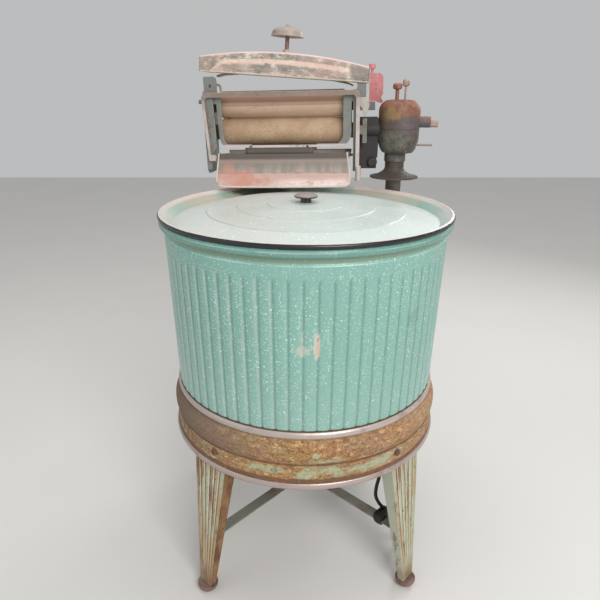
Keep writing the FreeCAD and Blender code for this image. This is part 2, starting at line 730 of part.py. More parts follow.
def make_head_controls():
    stem = cylinder("shift_stem", 4.5, 52, Vector(-3.6, 0, 1000))
    cap = turned("shift_cap", [(0, 1044), (8, 1044), (11, 1047), (11, 1055), (8, 1058), (0, 1058)],
                 Vector(-3.6, 0, 0))
    finger = block("shift_finger", (-6, -26, 1046), (-1, -8, 1054))
    keep("shift_lever", fuse("shift_lever_assembled", stem, cap, finger), HEAD)
    rod = cylinder("plunger_rod", 2.5, 56, Vector(16, 0, 1000))
    knob = turned("plunger_knob", [
        (0, 1050.5), (4, 1050.5, -8), (8.3, 1055), (8.3, 1060, -8.6), (2, 1068), (0, 1068)], Vector(16, 0, 0))
    keep("lock_plunger", fuse("plunger_assembled", rod, knob), HEAD)
    blade = block("lock_blade", (36, -6, 914), (89, 6, 918))
    boss = cylinder("lock_boss", 6, 8, Vector(36, 0, 912))
    pin = cylinder("lock_pin", 3, 12, Vector(36, 0, 901))
    keep("lock_lever", fuse("lock_lever_assembled", blade, boss, pin), HEAD)


def make_bracket():
    """The casting that joins the wringer's right end frame to the head."""
    web = pressed("bracket_web", "XZ_Plane", [
        (186.5, -2), (232, -2), (242, -14), (242, -84), (232, -100), (232, -124), (192, -124),
        (186.5, -116),
    ], 26, both_ways=True)
    barrel = cylinder("bracket_barrel", 20, 56, Vector(186.5, 0, -32), X)
    way = cylinder("bracket_way", 12, 90, Vector(170, 0, -32), X)
    head_space = cylinder("bracket_head_space", dim("head_radius") + 0.05, 200, Vector(5, 0, 840))
    head_space.Placement = HEAD_SEEN.multiply(head_space.Placement)
    keep("wringer_bracket", cut("bracket_bored", fuse("bracket_blank", web, barrel), way, head_space),
         WRINGER)
    boss = turned("bracket_bolt_head", [(0, 13), (12, 13), (12, 18, -5), (9, 22), (0, 22)],
                  Vector(222, 0, -108), -Y)
    plug = hex_bolt("side_plug", Vector(80.1, 0, 966), X, across=14, head=18, shank=20,
                    shank_radius=7.6)
    plug.Placement = HEAD_SEEN.multiply(plug.Placement)
    screws = [cylinder(f"guard_screw_{side}", 2.4, 1.8, Vector(side * 70 - 6, -49, -65), -Y)
              for side in (-1, 1)]
    keep("wringer_bolts", group("wringer_bolt_set", boss, plug, *screws), WRINGER)


# ---------------------------------------------------------------- wringer frame


def end_frame_outline(front_edge):
    top, bottom = dim("frame_top"), dim("frame_bottom")
    return [(-56, top - 8), (-48, top), (48, top), (56, top - 8), (46, -60), (42, bottom + 10),
            (32, bottom)] + front_edge


def make_end_frames():
    left, right = dim("frame_left"), dim("frame_right")
    bottom = dim("frame_bottom")
    straight = [(-46, bottom), (-56, bottom + 10)]
    plate = pressed("left_plate", "YZ_Plane", end_frame_outline(straight), 7, left - 7)
    flange = pressed("left_front_flange", "XZ_Plane", [
        (left - 7, 54), (-164, 54), (-162, 35), (-160, -40), (-160, -64), (-173, -80),
        (-176, bottom + 10), (left - 7, bottom + 10),
    ], 4, offset=52)
    ear = block("left_ear", (left - 4, -14, 50), (left + 8, 14, 92))
    lug = pressed("left_lug", "XZ_Plane", [
        (left - 7, 46), (left - 7, 62), (left - 3, 66), (left - 3, 97), (-160, 97, 9), (-151, 88),
        (-151, 62), (-163, 46),
    ], 2.5, offset=50)
    holes = [cylinder(f"left_hole_{level}", 10.5, 20, Vector(number_of(left) - 12, 0, level), X)
             for level in (-32, 32)]
    holes.append(cylinder("left_lug_hole", 4, 8, Vector(-168, -46, 76), -Y))
    pin = cylinder("left_pin", 5, 26, Vector(number_of(left) - 32, 0, 40), X)
    keep("end_frame_left", cut("left_drilled", fuse("left_blank", plate, flange, lug, ear, pin), *holes),
         WRINGER)

    tapered = [(-32, bottom), (-42, bottom + 10), (-46, -60)]
    plate = pressed("right_plate", "YZ_Plane", end_frame_outline(tapered), 12, right)
    ears = []
    for side in (-1, 1):
        ears.append(block(f"hinge_ear_{side}", (right + 8, side * 47 - 4, 30),
                          (dim("hinge_across") + 5, side * 47 + 4, dim("hinge_up"))))
        ears.append(cylinder(f"hinge_eye_{side}", 6, 8, HINGE + Y * (side * 47 - 4), Y))
    pin = cylinder("hinge_pin", 4, 116, HINGE - Y * 58, Y)
    lever_arm = block("lever_arm", (right + 8, 50, 12), (227.5, 58, 32))
    lever_pin = cylinder("lever_pin", 4, 18, Vector(217.5, 56, 22), Y)
    strip = block("outer_strip", (197, -44, -60), (207, -36, -4))
    foot = block("strip_foot", (right + 8, -44, -40), (200, -36, -20))
    holes = [cylinder(f"right_hole_{level}", 11, 40, Vector(number_of(right) - 12, 0, level), X)
             for level in (-32, 32)]
    keep("end_frame_right", cut("right_drilled", fuse("right_blank", plate, *ears, pin, lever_arm,
                                                      lever_pin, strip, foot), *holes), WRINGER)

    latch = pressed("latch_plate", "XZ_Plane", [
        (190, 44), (210, 44), (212, 24), (206, 8), (202, 2), (197, 6), (196, 20), (190, 26),
    ], 8, offset=51)
    keep("latch_casting", latch, WRINGER)


def make_bearings():
    blocks = []
    for side, low, high in (("left", dim("frame_left"), -156), ("right", 156, dim("frame_right"))):
        for level in (-1, 1):
            middle = number_of(dim("roll_radius")) * level + number_of(dim("roll_gap")) * level / 2
            base = block(f"bearing_{side}_{level}", (low, -20, middle - 17), (high, 20, middle + 17))
            bore = cylinder(f"bearing_{side}_{level}_bore", dim("journal_radius") + dim("running_fit"),
                            60, Vector(number_of(low) - 20, 0, middle), X)
            blocks.append(cut(f"bearing_{side}_{level}_bored", base, bore))
    keep("roll_bearings", group("bearing_set", *blocks), WRINGER)


def make_rolls():
    radius, length, gap = dim("roll_radius"), dim("roll_length"), dim("roll_gap")
    journal = dim("journal_radius")
    for name, level in (("lower", -1), ("upper", 1)):
        height = (radius + gap / 2) * level
        at = vec(0, 0, height)
        rubber = turned(f"{name}_roll_rubber", [
            (journal, -length / 2), (radius - 2, -length / 2), (radius, -length / 2 + 2),
            (radius, length / 2 - 2), (radius - 2, length / 2), (journal, length / 2),
        ], at, X)
        keep(f"{name}_roll", rubber, WRINGER)
        reach = 262 if name == "lower" else 186
        rod = cylinder(f"{name}_rod", journal, 188 + reach, at - X * 188, X)
        if name == "lower":
            apex = number_of(dim("wringer_reach"))
            gear = cone("roll_gear", GEAR_WIDE, GEAR_NARROW, GEAR_FACE, at + X * (apex - GEAR_BACK), X)
            rod = fuse("lower_rod_geared", rod, gear)
        keep(f"{name}_roll_shaft", rod, WRINGER)


def make_release_bar():
    """The inverted U of flat bar that stands in front of the rolls."""
    outer = pressed("bar_outer", "XZ_Plane", [
        (-179.5, -98), (-188, 48, 14), (-174, 61), (176, 61, 14), (190, 48), (190, -112), (0, -112),
    ], 6, offset=59)
    inner = pressed("bar_inner", "XZ_Plane", [
        (-163, -99), (-163, -83), (-174, -83), (-181, 42, 9), (-172, 50), (172, 50, 9), (181, 42),
        (181, -130), (0, -130),
    ], 20, offset=52)
    trim = block("bar_trim", (-185, -70, -140), (181, -50, -97))
    nut = cylinder("bar_nut", 7, 35, Vector(187.5, -62, -147))
    pins = [cylinder("bar_pin_left", 4, 14, Vector(-167, -61, -90), Y),
            cylinder("bar_pin_right", 4, 14, Vector(185.5, -61, -90), Y)]
    keep("release_bar", cut("bar_bent", fuse("bar_blank", outer, nut, *pins), inner, trim), WRINGER)


def make_guards():
    """Pressed guards that tie the end frames together before and behind the rolls."""
    for name, side in (("feed_guard_front", -1), ("feed_guard_rear", 1)):
        near = 45 if side < 0 else -49
        plate = pressed(name + "_plate", "XZ_Plane", [
            (dim("frame_left"), 56), (dim("frame_left"), 35), (-156, 35), (-153, -42, -30), (-137, -68),
            (146, -68, -36), (170, -42), (170, 35), (dim("frame_right"), 35), (dim("frame_right"), 56),
        ], 4, offset=near)
        window = pressed(name + "_window", "XZ_Plane", [
            (-145, 60), (-143, -44, -24), (-131, -62), (133, -62, -26), (151, -42), (151, 60),
        ], 10, offset=near - 3)
        keep(name, cut(name + "_open", plate, window), WRINGER)


def board_shape(name, profile):
    """A thin tray running down from the frame, with its outer corners rounded."""
    half = dim("board_width") / 2
    skin = pressed(name + "_skin", "YZ_Plane", profile, dim("board_width") + 20, -half - 3)
    face = pressed(name + "_face", "XY_Plane", [
        (-160, -36), (-155, -95, -18), (-139, -112), (156, -112, -18), (173, -95), (161, -36),
    ], 200, offset=-170)
    if name == "drainboard_rear":
        face.Placement = Placement(Vector(10, 0, -170), Rotation(Z, 180))
    return common(name + "_trimmed", skin, face)


def make_boards():
    front = [(-45, -63), (-45, -85), (-52.5, -95), (-79, -122), (-113, -153.5), (-111.5, -155.5),
             (-77, -124), (-50.5, -96.5), (-42.8, -85.5), (-42.8, -63)]
    rear = [(42.8, -63), (42.8, -88), (60, -100), (111, -112), (112, -110), (61, -97.6), (45, -87), (45, -63)]
    for name, profile in (("drainboard_front", front), ("drainboard_rear", rear)):
        corners = [block(f"{name}_corner_{low}", (low, -50, -81), (high, 50, -60))
                   for low, high in ((-180, -92), (80, 180))]
        keep(name, cut(name + "_tabbed", board_shape(name, profile), *corners), WRINGER)
    flipper = pressed("flipper_plate", "YZ_Plane", [
        (-32, -84), (0, -93), (32, -84), (31, -82), (0, -90.6), (-31, -82),
    ], 300, -146)
    rod = cylinder("flipper_rod", 3, 350, Vector(-176.5, 0, -92), X)
    keep("flipper_board", fuse("flipper_assembled", flipper, rod), WRINGER)


# ---------------------------------------------------------------- cover and its controls


def make_cover():
    """Drawn shut; the released cover stands open on its hinge."""
    left, right = dim("cover_left"), dim("cover_right")
    low, end_top, crown = dim("cover_bottom"), dim("cover_end_top"), dim("cover_crown")
    half = number_of(right - left) / 2
    rise = number_of(crown - end_top)
    sweep = (half * half + rise * rise) / (2 * rise)
    shell = pressed("cover_blank", "XZ_Plane", [
        (left, low), (left, end_top, sweep), (right, end_top), (right, low),
    ], dim("cover_depth"), both_ways=True)
    hollow = pressed("cover_hollow", "XZ_Plane", [
        (left + 2, low - 5), (left + 2, end_top - 2, sweep), (right - 2, end_top - 2), (right - 2, low - 5),
    ], dim("cover_depth") - 4, both_ways=True)
    middle = number_of(dim("screw_across"))
    nut = hex_bolt("cover_nut", Vector(middle, 0, number_of(crown) - 4), Z, across=15, head=9)
    screw_way = cylinder("cover_screw_way", 5.06, 60, Vector(middle, 0, 100))
    hinge_way = cylinder("cover_hinge_way", 4.08, 140, HINGE - Y * 70, Y)
    end_notch = block("cover_end_notch", (dim("hinge_across"), -53, 60), (right + 8, 53, 92))
    keep("top_cover", cut("cover_bored", fuse("cover_nutted", cut("cover_shell", shell, hollow), nut),
                          screw_way, hinge_way, end_notch), COVER)
    spring = pressed("spring_leaf", "XZ_Plane", [
        (-158, 66), (-146, 70), (8, 90), (162, 70), (174, 66), (174, 70), (162, 74), (8, 94),
        (-146, 74), (-158, 70),
    ], 36, both_ways=True)
    keep("pressure_spring", spring, COVER)
    screw = cylinder("screw_rod", 5, 86, Vector(middle, 0, 94.3))
    keep("pressure_screw", screw, COVER)
    knob = turned("knob_bell", [
        (5, 167), (10, 167), (11, 178), (28, 175), (36.5, 165), (39, 165), (36, 176, -30), (22, 184),
        (8, 187), (5, 187)], Vector(middle, 0, 0))
    finial = turned("knob_finial", [(0, 180.4), (5, 180.4), (5, 187), (6, 187.5), (4, 191), (0, 192)],
                    Vector(middle, 0, 0))
    keep("pressure_knob", fuse("knob_assembled", knob, finial), COVER)


def make_release_lever():
    """The paddle lever on the rear of the right end frame."""
    paddle = pressed("lever_paddle", "XZ_Plane", [
        (212.1, 42), (224.5, 34), (241.5, 28), (247.5, 32), (241.5, 42), (246.5, 50), (246.5, 88, -14),
        (235.5, 99), (212.1, 99),
    ], 8, offset=-68)
    barrel = cylinder("lever_barrel", 9, 10, Vector(217.5, 58.5, 22), Y)
    web = block("lever_web", (212.1, 60, 14), (222.9, 68, 46))
    neck = cylinder("lever_neck", 3, 12, Vector(218.5, 64, 98))
    cap = cylinder("lever_cap", 8.5, 11, Vector(218.5, 64, 109))
    way = cylinder("lever_way", 4.06, 30, Vector(217.5, 50, 22), Y)
    keep("release_lever", cut("lever_bored", fuse("lever_blank", paddle, barrel, web, neck, cap), way),
         WRINGER)


def make_cover_latch():
    pin = number_of(dim("frame_left")) + 2
    plate = pressed("latch_hook", "XZ_Plane", [
        (pin - 6, 73), (pin + 6, 73), (pin + 22, 76, 6), (pin + 27, 71), (pin + 27, 63),
        (pin + 31, 63), (pin + 31, 73, -12), (pin + 24, 81), (pin + 6, 82), (pin - 6, 82),
    ], 4, offset=20)
    screw = cylinder("latch_screw", 4.4, 12, Vector(pin, -14.1, 78), -Y)
    keep("cover_latch", fuse("latch_assembled", plate, screw), WRINGER)


# ---------------------------------------------------------------- mains cord

CORD_ROUTE = [
    (163, -150, 262), (163, -150, 238), (157, -151, 212), (155, -154, 186), (166, -155, 164),
    (182, -153, 146), (196, -150, 126), (205, -146, 100), (211, -140, 73), (218, -129, 46),
    (226, -112, 24), (237, -84, 9), (247, -48, 4.6), (256, 0, 4.6), (263, 50, 4.6),
    (269, 100, 4.6), (273, 150, 4.6), (273, 200, 4.6), (265, 246, 4.6), (244, 282, 4.6),
    (211, 306, 4.6), (172, 318, 4.6), (132, 320, 4.6),
]
COIL_CENTRE = Vector(96, 276, 0)
PLUG_MIDDLE, PLUG_AXIS = Vector(15.3, 292.5, 15), Vector(-0.94, -0.34, 0)


def cord_path(points):
    """Straight runs joined by tangent arcs, each arc as large as its two runs allow."""
    points = [Vector(*point) for point in points]
    edges, start, radii = [], points[0], []
    for before, here, after in zip(points, points[1:], points[2:]):
        inward, onward = here - before, after - here
        shorter = min(inward.Length, onward.Length)
        setback = 0.45 * shorter
        into, out = Vector(inward).normalize(), Vector(onward).normalize()
        radius = setback / math.tan(into.getAngle(out) / 2)
        radii.append(radius)
        near, far = here - into * setback, here + out * setback
        bisector = (out - into).normalize()
        centre = here + bisector * math.hypot(radius, setback)
        edges += [Part.LineSegment(start, near).toShape(),
                  Part.Arc(near, centre + (here - centre).normalize() * radius, far).toShape()]
        start = far
    edges.append(Part.LineSegment(start, points[-1]).toShape())
    return Part.Wire(edges), radii


def make_cord():
    diameter = number_of(dim("cord_diameter"))
    path, radii = cord_path(CORD_ROUTE)
    start = path.Edges[0]
    profile = Part.Wire(Part.makeCircle(diameter / 2, start.Vertexes[0].Point,
                                        start.tangentAt(start.FirstParameter)))
    tube = doc.addObject("Part::Feature", "power_cord_tube")
    tube.Shape = path.makePipeShell([profile], True, False)
    ideal = math.pi * diameter ** 2 / 4 * path.Length
    print("cord radii", [round(radius) for radius in radii], "length", round(path.Length),
          "volume ratio", round(tube.Shape.Volume / ideal, 4))
    keep("power_cord", tube)
    middle = dim("coil_radius")
    coil = turned("cord_coil_turned", [
        (middle - 13, 0.4), (middle + 12, 0.4), (middle + 12, 8.4), (middle + 8, 16.4),
        (middle - 8, 16.4), (middle - 13, 8.4)], COIL_CENTRE)
    keep("cord_coil", cut("cord_coil_fitted", coil, tube))
    gland = turned("gland_turned", [
        (0, 262), (4.8, 262), (7, 286), (8.5, 286), (8.5, 300), (0, 300)], Vector(163, -150, 0))
    keep("cord_gland", cut("gland_fitted", gland, parts["motor"]))
    clip = block("cord_clip_block", (226, -15, 129), (248, 28, 152), Placement(ORIGIN, Rotation(Z, -45)))
    clip = common("cord_clip_rounded", clip, ball("cord_clip_ball", 22, Rotation(Z, -45).multVec(
        Vector(237, 6.5, 140.5))))
    low = dim("brace_height") + dim("brace_thick")
    bar = block("cord_clip_slot", (-400, -12.5, low), (400, 12.5, low + dim("brace_thick")),
                Placement(ORIGIN, Rotation(Z, -45)))
    keep("cord_clip", cut("cord_clip_slotted", clip, bar, tube))
    grip = turned("plug_grip", [
        (0, -22), (6, -22), (9, -14, 14), (15, -6), (15, 8), (13, 12), (0, 12)],
        PLUG_MIDDLE, PLUG_AXIS)
    blades = []
    along = Placement(PLUG_MIDDLE, turn_to(PLUG_AXIS))
    for side in (-1, 1):
        blades.append(block(f"plug_blade_{side}", (side * 6.3 - 0.8, -3.2, 10),
                            (side * 6.3 + 0.8, 3.2, 29), along))
    keep("cord_plug", fuse("plug_assembled", grip, *blades))


# ---------------------------------------------------------------- build, check and write

for make in (make_tub, make_lid, make_skirt, make_legs, make_braces, make_frame_bolts, make_gearcase,
             make_drive, make_motor, make_agitator, make_drain, make_cross_shaft, make_post, make_head,
             make_head_controls, make_bracket, make_end_frames, make_bearings, make_rolls,
             make_release_bar, make_guards, make_boards, make_cover, make_release_lever,
             make_cover_latch, make_cord):
    make()
doc.recompute()

failed = [thing.Name for thing in doc.Objects if "Invalid" in thing.State or "Error" in thing.State]
failed += [name for name, thing in parts.items() if thing.Shape.isNull() or not thing.Shape.isValid()]
if failed:
    raise SystemExit(f"these failed: {failed}")

os.makedirs("parts", exist_ok=True)
for name, thing in parts.items():
    thing.Shape.exportStep(f"parts/{name}.step")
print(len(parts), "parts", {name: len(thing.Shape.Solids) for name, thing in parts.items()})
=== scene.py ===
import math

import bpy
from mathutils import Matrix, Vector


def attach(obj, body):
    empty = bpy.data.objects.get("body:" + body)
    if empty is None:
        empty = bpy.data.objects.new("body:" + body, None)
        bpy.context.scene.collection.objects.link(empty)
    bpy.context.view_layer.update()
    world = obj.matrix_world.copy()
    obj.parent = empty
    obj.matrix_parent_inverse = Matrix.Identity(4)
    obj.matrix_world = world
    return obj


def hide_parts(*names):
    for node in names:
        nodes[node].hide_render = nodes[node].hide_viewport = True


# The looks of an old wringer washing machine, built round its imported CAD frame.
# Metres, +Z up, the tub's axis at the origin, -Y the front.

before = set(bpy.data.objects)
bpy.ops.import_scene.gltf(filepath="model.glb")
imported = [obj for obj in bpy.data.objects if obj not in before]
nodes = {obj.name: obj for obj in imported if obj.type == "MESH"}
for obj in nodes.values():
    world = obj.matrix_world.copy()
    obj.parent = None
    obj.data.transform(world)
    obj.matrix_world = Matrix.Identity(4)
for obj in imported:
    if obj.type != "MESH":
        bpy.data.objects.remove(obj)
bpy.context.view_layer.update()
scene = bpy.context.scene
scene.view_settings.view_transform = "Standard"

# ---------------------------------------------------------------- camera

CAMERA_PLACE = (-0.0507, -1.1438, 1.039)
CAMERA_PITCH, CAMERA_TURN, CAMERA_ROLL = math.radians(20.89), math.radians(-1.96), math.radians(0.29)
LENS_MM, SENSOR_MM = 32.84, 36

camera_data = bpy.data.cameras.new("camera")
camera_data.lens = LENS_MM
camera_data.sensor_width = SENSOR_MM
camera = bpy.data.objects.new("camera", camera_data)
scene.collection.objects.link(camera)
aim = Matrix.Rotation(CAMERA_TURN, 4, "Z") @ Matrix.Rotation(math.pi / 2 - CAMERA_PITCH, 4, "X")
camera.matrix_world = Matrix.Translation(CAMERA_PLACE) @ aim @ Matrix.Rotation(CAMERA_ROLL, 4, "Z")
scene.camera = camera

# ---------------------------------------------------------------- frames shared with the CAD

# WRINGER: origin in the middle of the line between the rolls, X along it. COVER: the same, opened.
YAW_DEGREES, SAG_DEGREES, COVER_OPEN_DEGREES = -8, -1.45, 4.95
WRINGER_REACH, NIP_HEIGHT = 0.2805, 0.9775
POST = Vector((0.2323, 0.2542, 0))
YAW = Matrix.Rotation(math.radians(YAW_DEGREES), 4, "Z")
NIP = Matrix.Translation(POST) @ YAW @ Vector((-WRINGER_REACH, 0, NIP_HEIGHT))
WRINGER = Matrix.Translation(NIP) @ YAW @ Matrix.Rotation(math.radians(SAG_DEGREES), 4, "Y")
HINGE = Matrix.Translation((0.199, 0, 0.084))
COVER = WRINGER @ HINGE @ Matrix.Rotation(math.radians(COVER_OPEN_DEGREES), 4, "Y") @ HINGE.inverted()


# ---------------------------------------------------------------- materials

def srgb(code):
    """A linear colour from a six-digit code."""
    channels = [int(code[i:i + 2], 16) / 255 for i in (0, 2, 4)]
    return [c / 12.92 if c <= 0.04045 else ((c + 0.055) / 1.055) ** 2.4 for c in channels] + [1]


class Paint:
    """A procedural material. Its methods add nodes and hand back the socket that carries the result.

    Its colour is built up in color: mix gives the first one, and lay puts the others over it.
    """

    def __init__(self, name, frame_of=None, coat=0.0, metallic=0.0):
        self.material = bpy.data.materials.new(name)
        self.material.use_nodes = True
        self.tree = self.material.node_tree
        self.shader = self.tree.nodes["Principled BSDF"]
        self.shader.inputs["Coat Weight"].default_value = coat
        self.shader.inputs["Metallic"].default_value = metallic
        self.place = self.node("ShaderNodeTexCoord").outputs["Object"]
        if frame_of is not None:
            back = frame_of.inverted()
            self.place = self.node("ShaderNodeMapping", Vector=self.place, Location=back.translation,
                                   Rotation=back.to_euler()).outputs[0]
        self.x, self.y, self.z = self.node("ShaderNodeSeparateXYZ", Vector=self.place).outputs
        self.color = None

    def node(self, kind, settings=None, **inputs):
        node = self.tree.nodes.new(kind)
        for name, value in (settings or {}).items():
            setattr(node, name, value)
        for name, value in inputs.items():
            self.feed(node.inputs[name.replace("_", " ")], value)
        return node

    def feed(self, socket, value):
        if isinstance(value, bpy.types.NodeSocket):
            self.tree.links.new(value, socket)
        else:
            socket.default_value = value

    def math(self, operation, *values):
        node = self.node("ShaderNodeMath", {"operation": operation})
        for socket, value in zip(node.inputs, values):
            self.feed(socket, value)
        return node.outputs[0]

    def minus(self, first, second):
        return self.math("SUBTRACT", first, second)

    def plus(self, first, second):
        return self.math("ADD", first, second)

    def size(self, value):
        return self.math("ABSOLUTE", value)

    def times(self, *values):
        result = values[0]
        for value in values[1:]:
            result = self.math("MULTIPLY", result, value)
        return result

    def most(self, *values):
        result = values[0]
        for value in values[1:]:
            result = self.math("MAXIMUM", result, value)
        return result

    def noise(self, scale, detail=4.0, rough=0.55, stretch=(1, 1, 1), shift=0.0):
        where = self.node("ShaderNodeMapping", Vector=self.place, Scale=stretch,
                          Location=(shift, shift, shift)).outputs[0]
        return self.node("ShaderNodeTexNoise", Vector=where, Scale=scale, Detail=detail,
                         Roughness=rough).outputs["Fac"]

    def wander(self, amount, *noise):
        """A noise that swings to both sides of zero."""
        return self.times(self.minus(self.noise(*noise), 0.5), amount)

    def band(self, value, low, high):
        """0 below low, 1 above high, smooth between; low above high turns it round."""
        flip = low > high
        node = self.node("ShaderNodeMapRange", {"interpolation_type": "SMOOTHSTEP"}, Value=value)
        for name, number in (("From Min", min(low, high)), ("From Max", max(low, high)),
                             ("To Min", 1.0 if flip else 0.0), ("To Max", 0.0 if flip else 1.0)):
            node.inputs[name].default_value = number
        return node.outputs[0]

    def patches(self, scale, level, soft=0.06, detail=6.0, rough=0.6, stretch=(1, 1, 1), shift=0.0):
        """1 in the ragged patches where a noise is above a level."""
        return self.band(self.noise(scale, detail, rough, stretch, shift), level - soft, level + soft)

    def line(self, value, middle, half, ragged=0.0, scale=60):
        """A stripe round a value, its edges made ragged."""
        gap = self.size(self.minus(value, middle))
        if ragged:
            gap = self.plus(gap, self.wander(ragged, scale, 5))
        return self.band(gap, half * 1.3, half * 0.7)

    def dots(self, cell, share, size, soft=0.12):
        """Round flecks: one in some cells, each up to size of a cell wide."""
        node = self.node("ShaderNodeTexVoronoi", Vector=self.place, Scale=1 / cell, Randomness=1.0)
        tint = self.node("ShaderNodeSeparateColor", Color=node.outputs["Color"]).outputs
        reach = self.times(self.math("POWER", tint[1], 2.0), size)
        wide = self.minus(self.plus(reach, size * 0.35), node.outputs["Distance"])
        return self.times(self.band(wide, 0.0, soft * size), self.band(tint[0], share, share - 0.02))

    def mix(self, factor, first, second):
        """A colour between two, each a socket or a six-digit code."""
        node = self.node("ShaderNodeMix", {"data_type": "RGBA"})
        self.feed(node.inputs["Factor"], factor)
        for socket, color in ((node.inputs[6], first), (node.inputs[7], second)):
            self.feed(socket, srgb(color) if isinstance(color, str) else color)
        return node.outputs[2]

    def lay(self, tint, *shares):
        """Lay a tint over the colour so far, as far as the shares' product goes."""
        self.color = self.mix(self.times(*shares), self.color, tint)

    def blend(self, factor, first, second):
        node = self.node("ShaderNodeMix", {"data_type": "FLOAT"})
        self.feed(node.inputs["Factor"], factor)
        self.feed(node.inputs[2], first)
        self.feed(node.inputs[3], second)
        return node.outputs[0]

    def vector(self, operation, first, second=(0, 0, 0)):
        node = self.node("ShaderNodeVectorMath", {"operation": operation})
        self.feed(node.inputs[0], first)
        self.feed(node.inputs[1], second)
        return node.outputs

    def radius(self):
        """How far out from the upright axis."""
        return self.math("SQRT", self.plus(self.times(self.x, self.x), self.times(self.y, self.y)))

    def spot(self, centre, spread, ragged=0.35, scale=90):
        """A ragged patch round a point."""
        moved = self.vector("SUBTRACT", self.place, centre)[0]
        far = self.vector("LENGTH", self.vector("DIVIDE", moved, spread)[0])["Value"]
        wobble = self.wander(ragged * 4, scale, 6, 0.65)
        return self.band(self.plus(far, wobble), 1.15, 0.65)

    def edges(self, radius=0.0018):
        """The normal with edges rounded off, and a mask of where it was rounded."""
        rounded = self.node("ShaderNodeBevel", {"samples": 4}, Radius=radius).outputs[0]
        flat = self.node("ShaderNodeNewGeometry").outputs["Normal"]
        agreement = self.vector("DOT_PRODUCT", rounded, flat)["Value"]
        return rounded, self.band(agreement, 0.985, 0.90)

    def finish(self, rough, bump=None, depth=0.0004, metallic=None, normal=None):
        self.feed(self.shader.inputs["Base Color"], self.color)
        self.feed(self.shader.inputs["Roughness"], rough)
        if metallic is not None:
            self.feed(self.shader.inputs["Metallic"], metallic)
        if bump is not None:
            node = self.node("ShaderNodeBump", Height=bump, Distance=depth)
            if normal is not None:
                self.feed(node.inputs["Normal"], normal)
            self.tree.links.new(node.outputs[0], self.shader.inputs["Normal"])
        return self.material


FLUTES, FLUTE_START = 69, math.radians(0.9)


def tub_enamel():
    """Sea-green enamel thick with pale flecks, painted shade in the grooves and in the neck's hollow, a
    painted highlight on the flute crests at the left, chipped in front.
    """
    paint = Paint("tub_enamel_speckled", coat=0.2)
    height, across = paint.z, paint.x
    paint.color = paint.mix(paint.noise(7, 5), "79a89c", "88b8ac")
    paint.lay("93bab0", paint.band(height, 0.62, 0.46), 0.5)
    turn = paint.math("ARCTAN2", paint.y, across)
    phase = paint.times(paint.minus(turn, FLUTE_START), FLUTES / (2 * math.pi))
    fluted = paint.band(height, 0.751, 0.738)
    # Painted shade along the narrow valleys between the flutes.
    groove_shade = paint.times(paint.band(paint.math("PINGPONG", phase, 0.5), 0.14, 0.02), fluted)
    # A painted highlight on the side of each crest next to a valley, on the left of the tub.
    crest = paint.math("PINGPONG", paint.minus(phase, 0.80), 0.5)
    painted_sheen = paint.times(paint.band(crest, 0.16, 0.03), fluted, paint.band(across, 0.05, -0.16),
                         paint.patches(60, 0.42, 0.18, 5, 0.7, (1, 1, 0.35), 6))
    fine = paint.most(paint.dots(0.0026, 0.62, 0.52, 0.5), paint.dots(0.0038, 0.50, 0.42, 0.4))
    bright = paint.most(paint.dots(0.0050, 0.30, 0.26, 0.3), paint.dots(0.0078, 0.14, 0.18, 0.3))
    thick = paint.band(paint.noise(6, shift=3), 0.36, 0.62)
    paint.lay("bfd8cf", fine, paint.blend(thick, 0.40, 0.75))
    paint.lay("ecf3ee", bright, paint.blend(thick, 0.60, 0.95))
    paint.lay("c3c2c3", painted_sheen, 0.45)
    paint.lay("4c7268", groove_shade, 0.42)
    # Painted shade in the hollow of the neck.
    neck = paint.line(height, 0.7805, 0.0050, 0.002, 12)
    paint.lay("7d8c73", neck, 0.70)
    rim = paint.band(height, 0.786, 0.7885)
    paint.lay("4a7a70", rim, 0.50)
    # Painted highlights along the rolled rim's top, its lower edge and the neck's shoulder.
    for level, strength in ((0.7965, 0.35), (0.7865, 0.5), (0.7715, 0.45)):
        shine = paint.times(paint.line(height, level, 0.0009, 0.0008, 25), paint.patches(14, 0.48, 0.1))
        paint.lay("d3e6da", shine, strength)
    front, deep = -0.289, 0.05
    bare = paint.most(
        paint.spot((0.0085, front, 0.6250), (0.0062, deep, 0.0290), 0.30, 150),
        paint.times(paint.spot((-0.0170, front, 0.6160), (0.0130, deep, 0.0110), 0.60, 150), 0.60),
        paint.times(paint.spot((-0.0175, front, 0.6390), (0.0026, deep, 0.016), 0.70, 150), 0.45),
        paint.times(paint.spot((0.0280, front, 0.6420), (0.0018, deep, 0.018), 0.70, 150), 0.35))
    paint.lay("cfc8bb", bare, 0.88)
    core = paint.times(paint.spot((0.0095, front, 0.6190), (0.0040, deep, 0.017), 0.55, 150), bare)
    paint.lay("cba995", core, 0.65)
    scab = paint.times(paint.spot((0.0095, front, 0.6380), (0.0026, deep, 0.0045), 0.5, 170), bare)
    paint.lay("b08d5e", scab, 0.75)
    smudge = paint.spot((0.192, -0.22, 0.648), (0.014, deep, 0.020), 0.8, 60)
    paint.lay("5f7c58", smudge, 0.22)
    paint.lay("5b6a60", paint.dots(0.050, 0.16, 0.030), 0.7)
    rough = paint.blend(paint.band(paint.noise(14), 0.35, 0.7), 0.30, 0.48)
    relief = paint.plus(paint.noise(160, 2), paint.times(paint.most(fine, bright), 0.5))
    return paint.finish(rough, relief, 0.0003)


LID_BEAD = (0.2990, 0.8070)


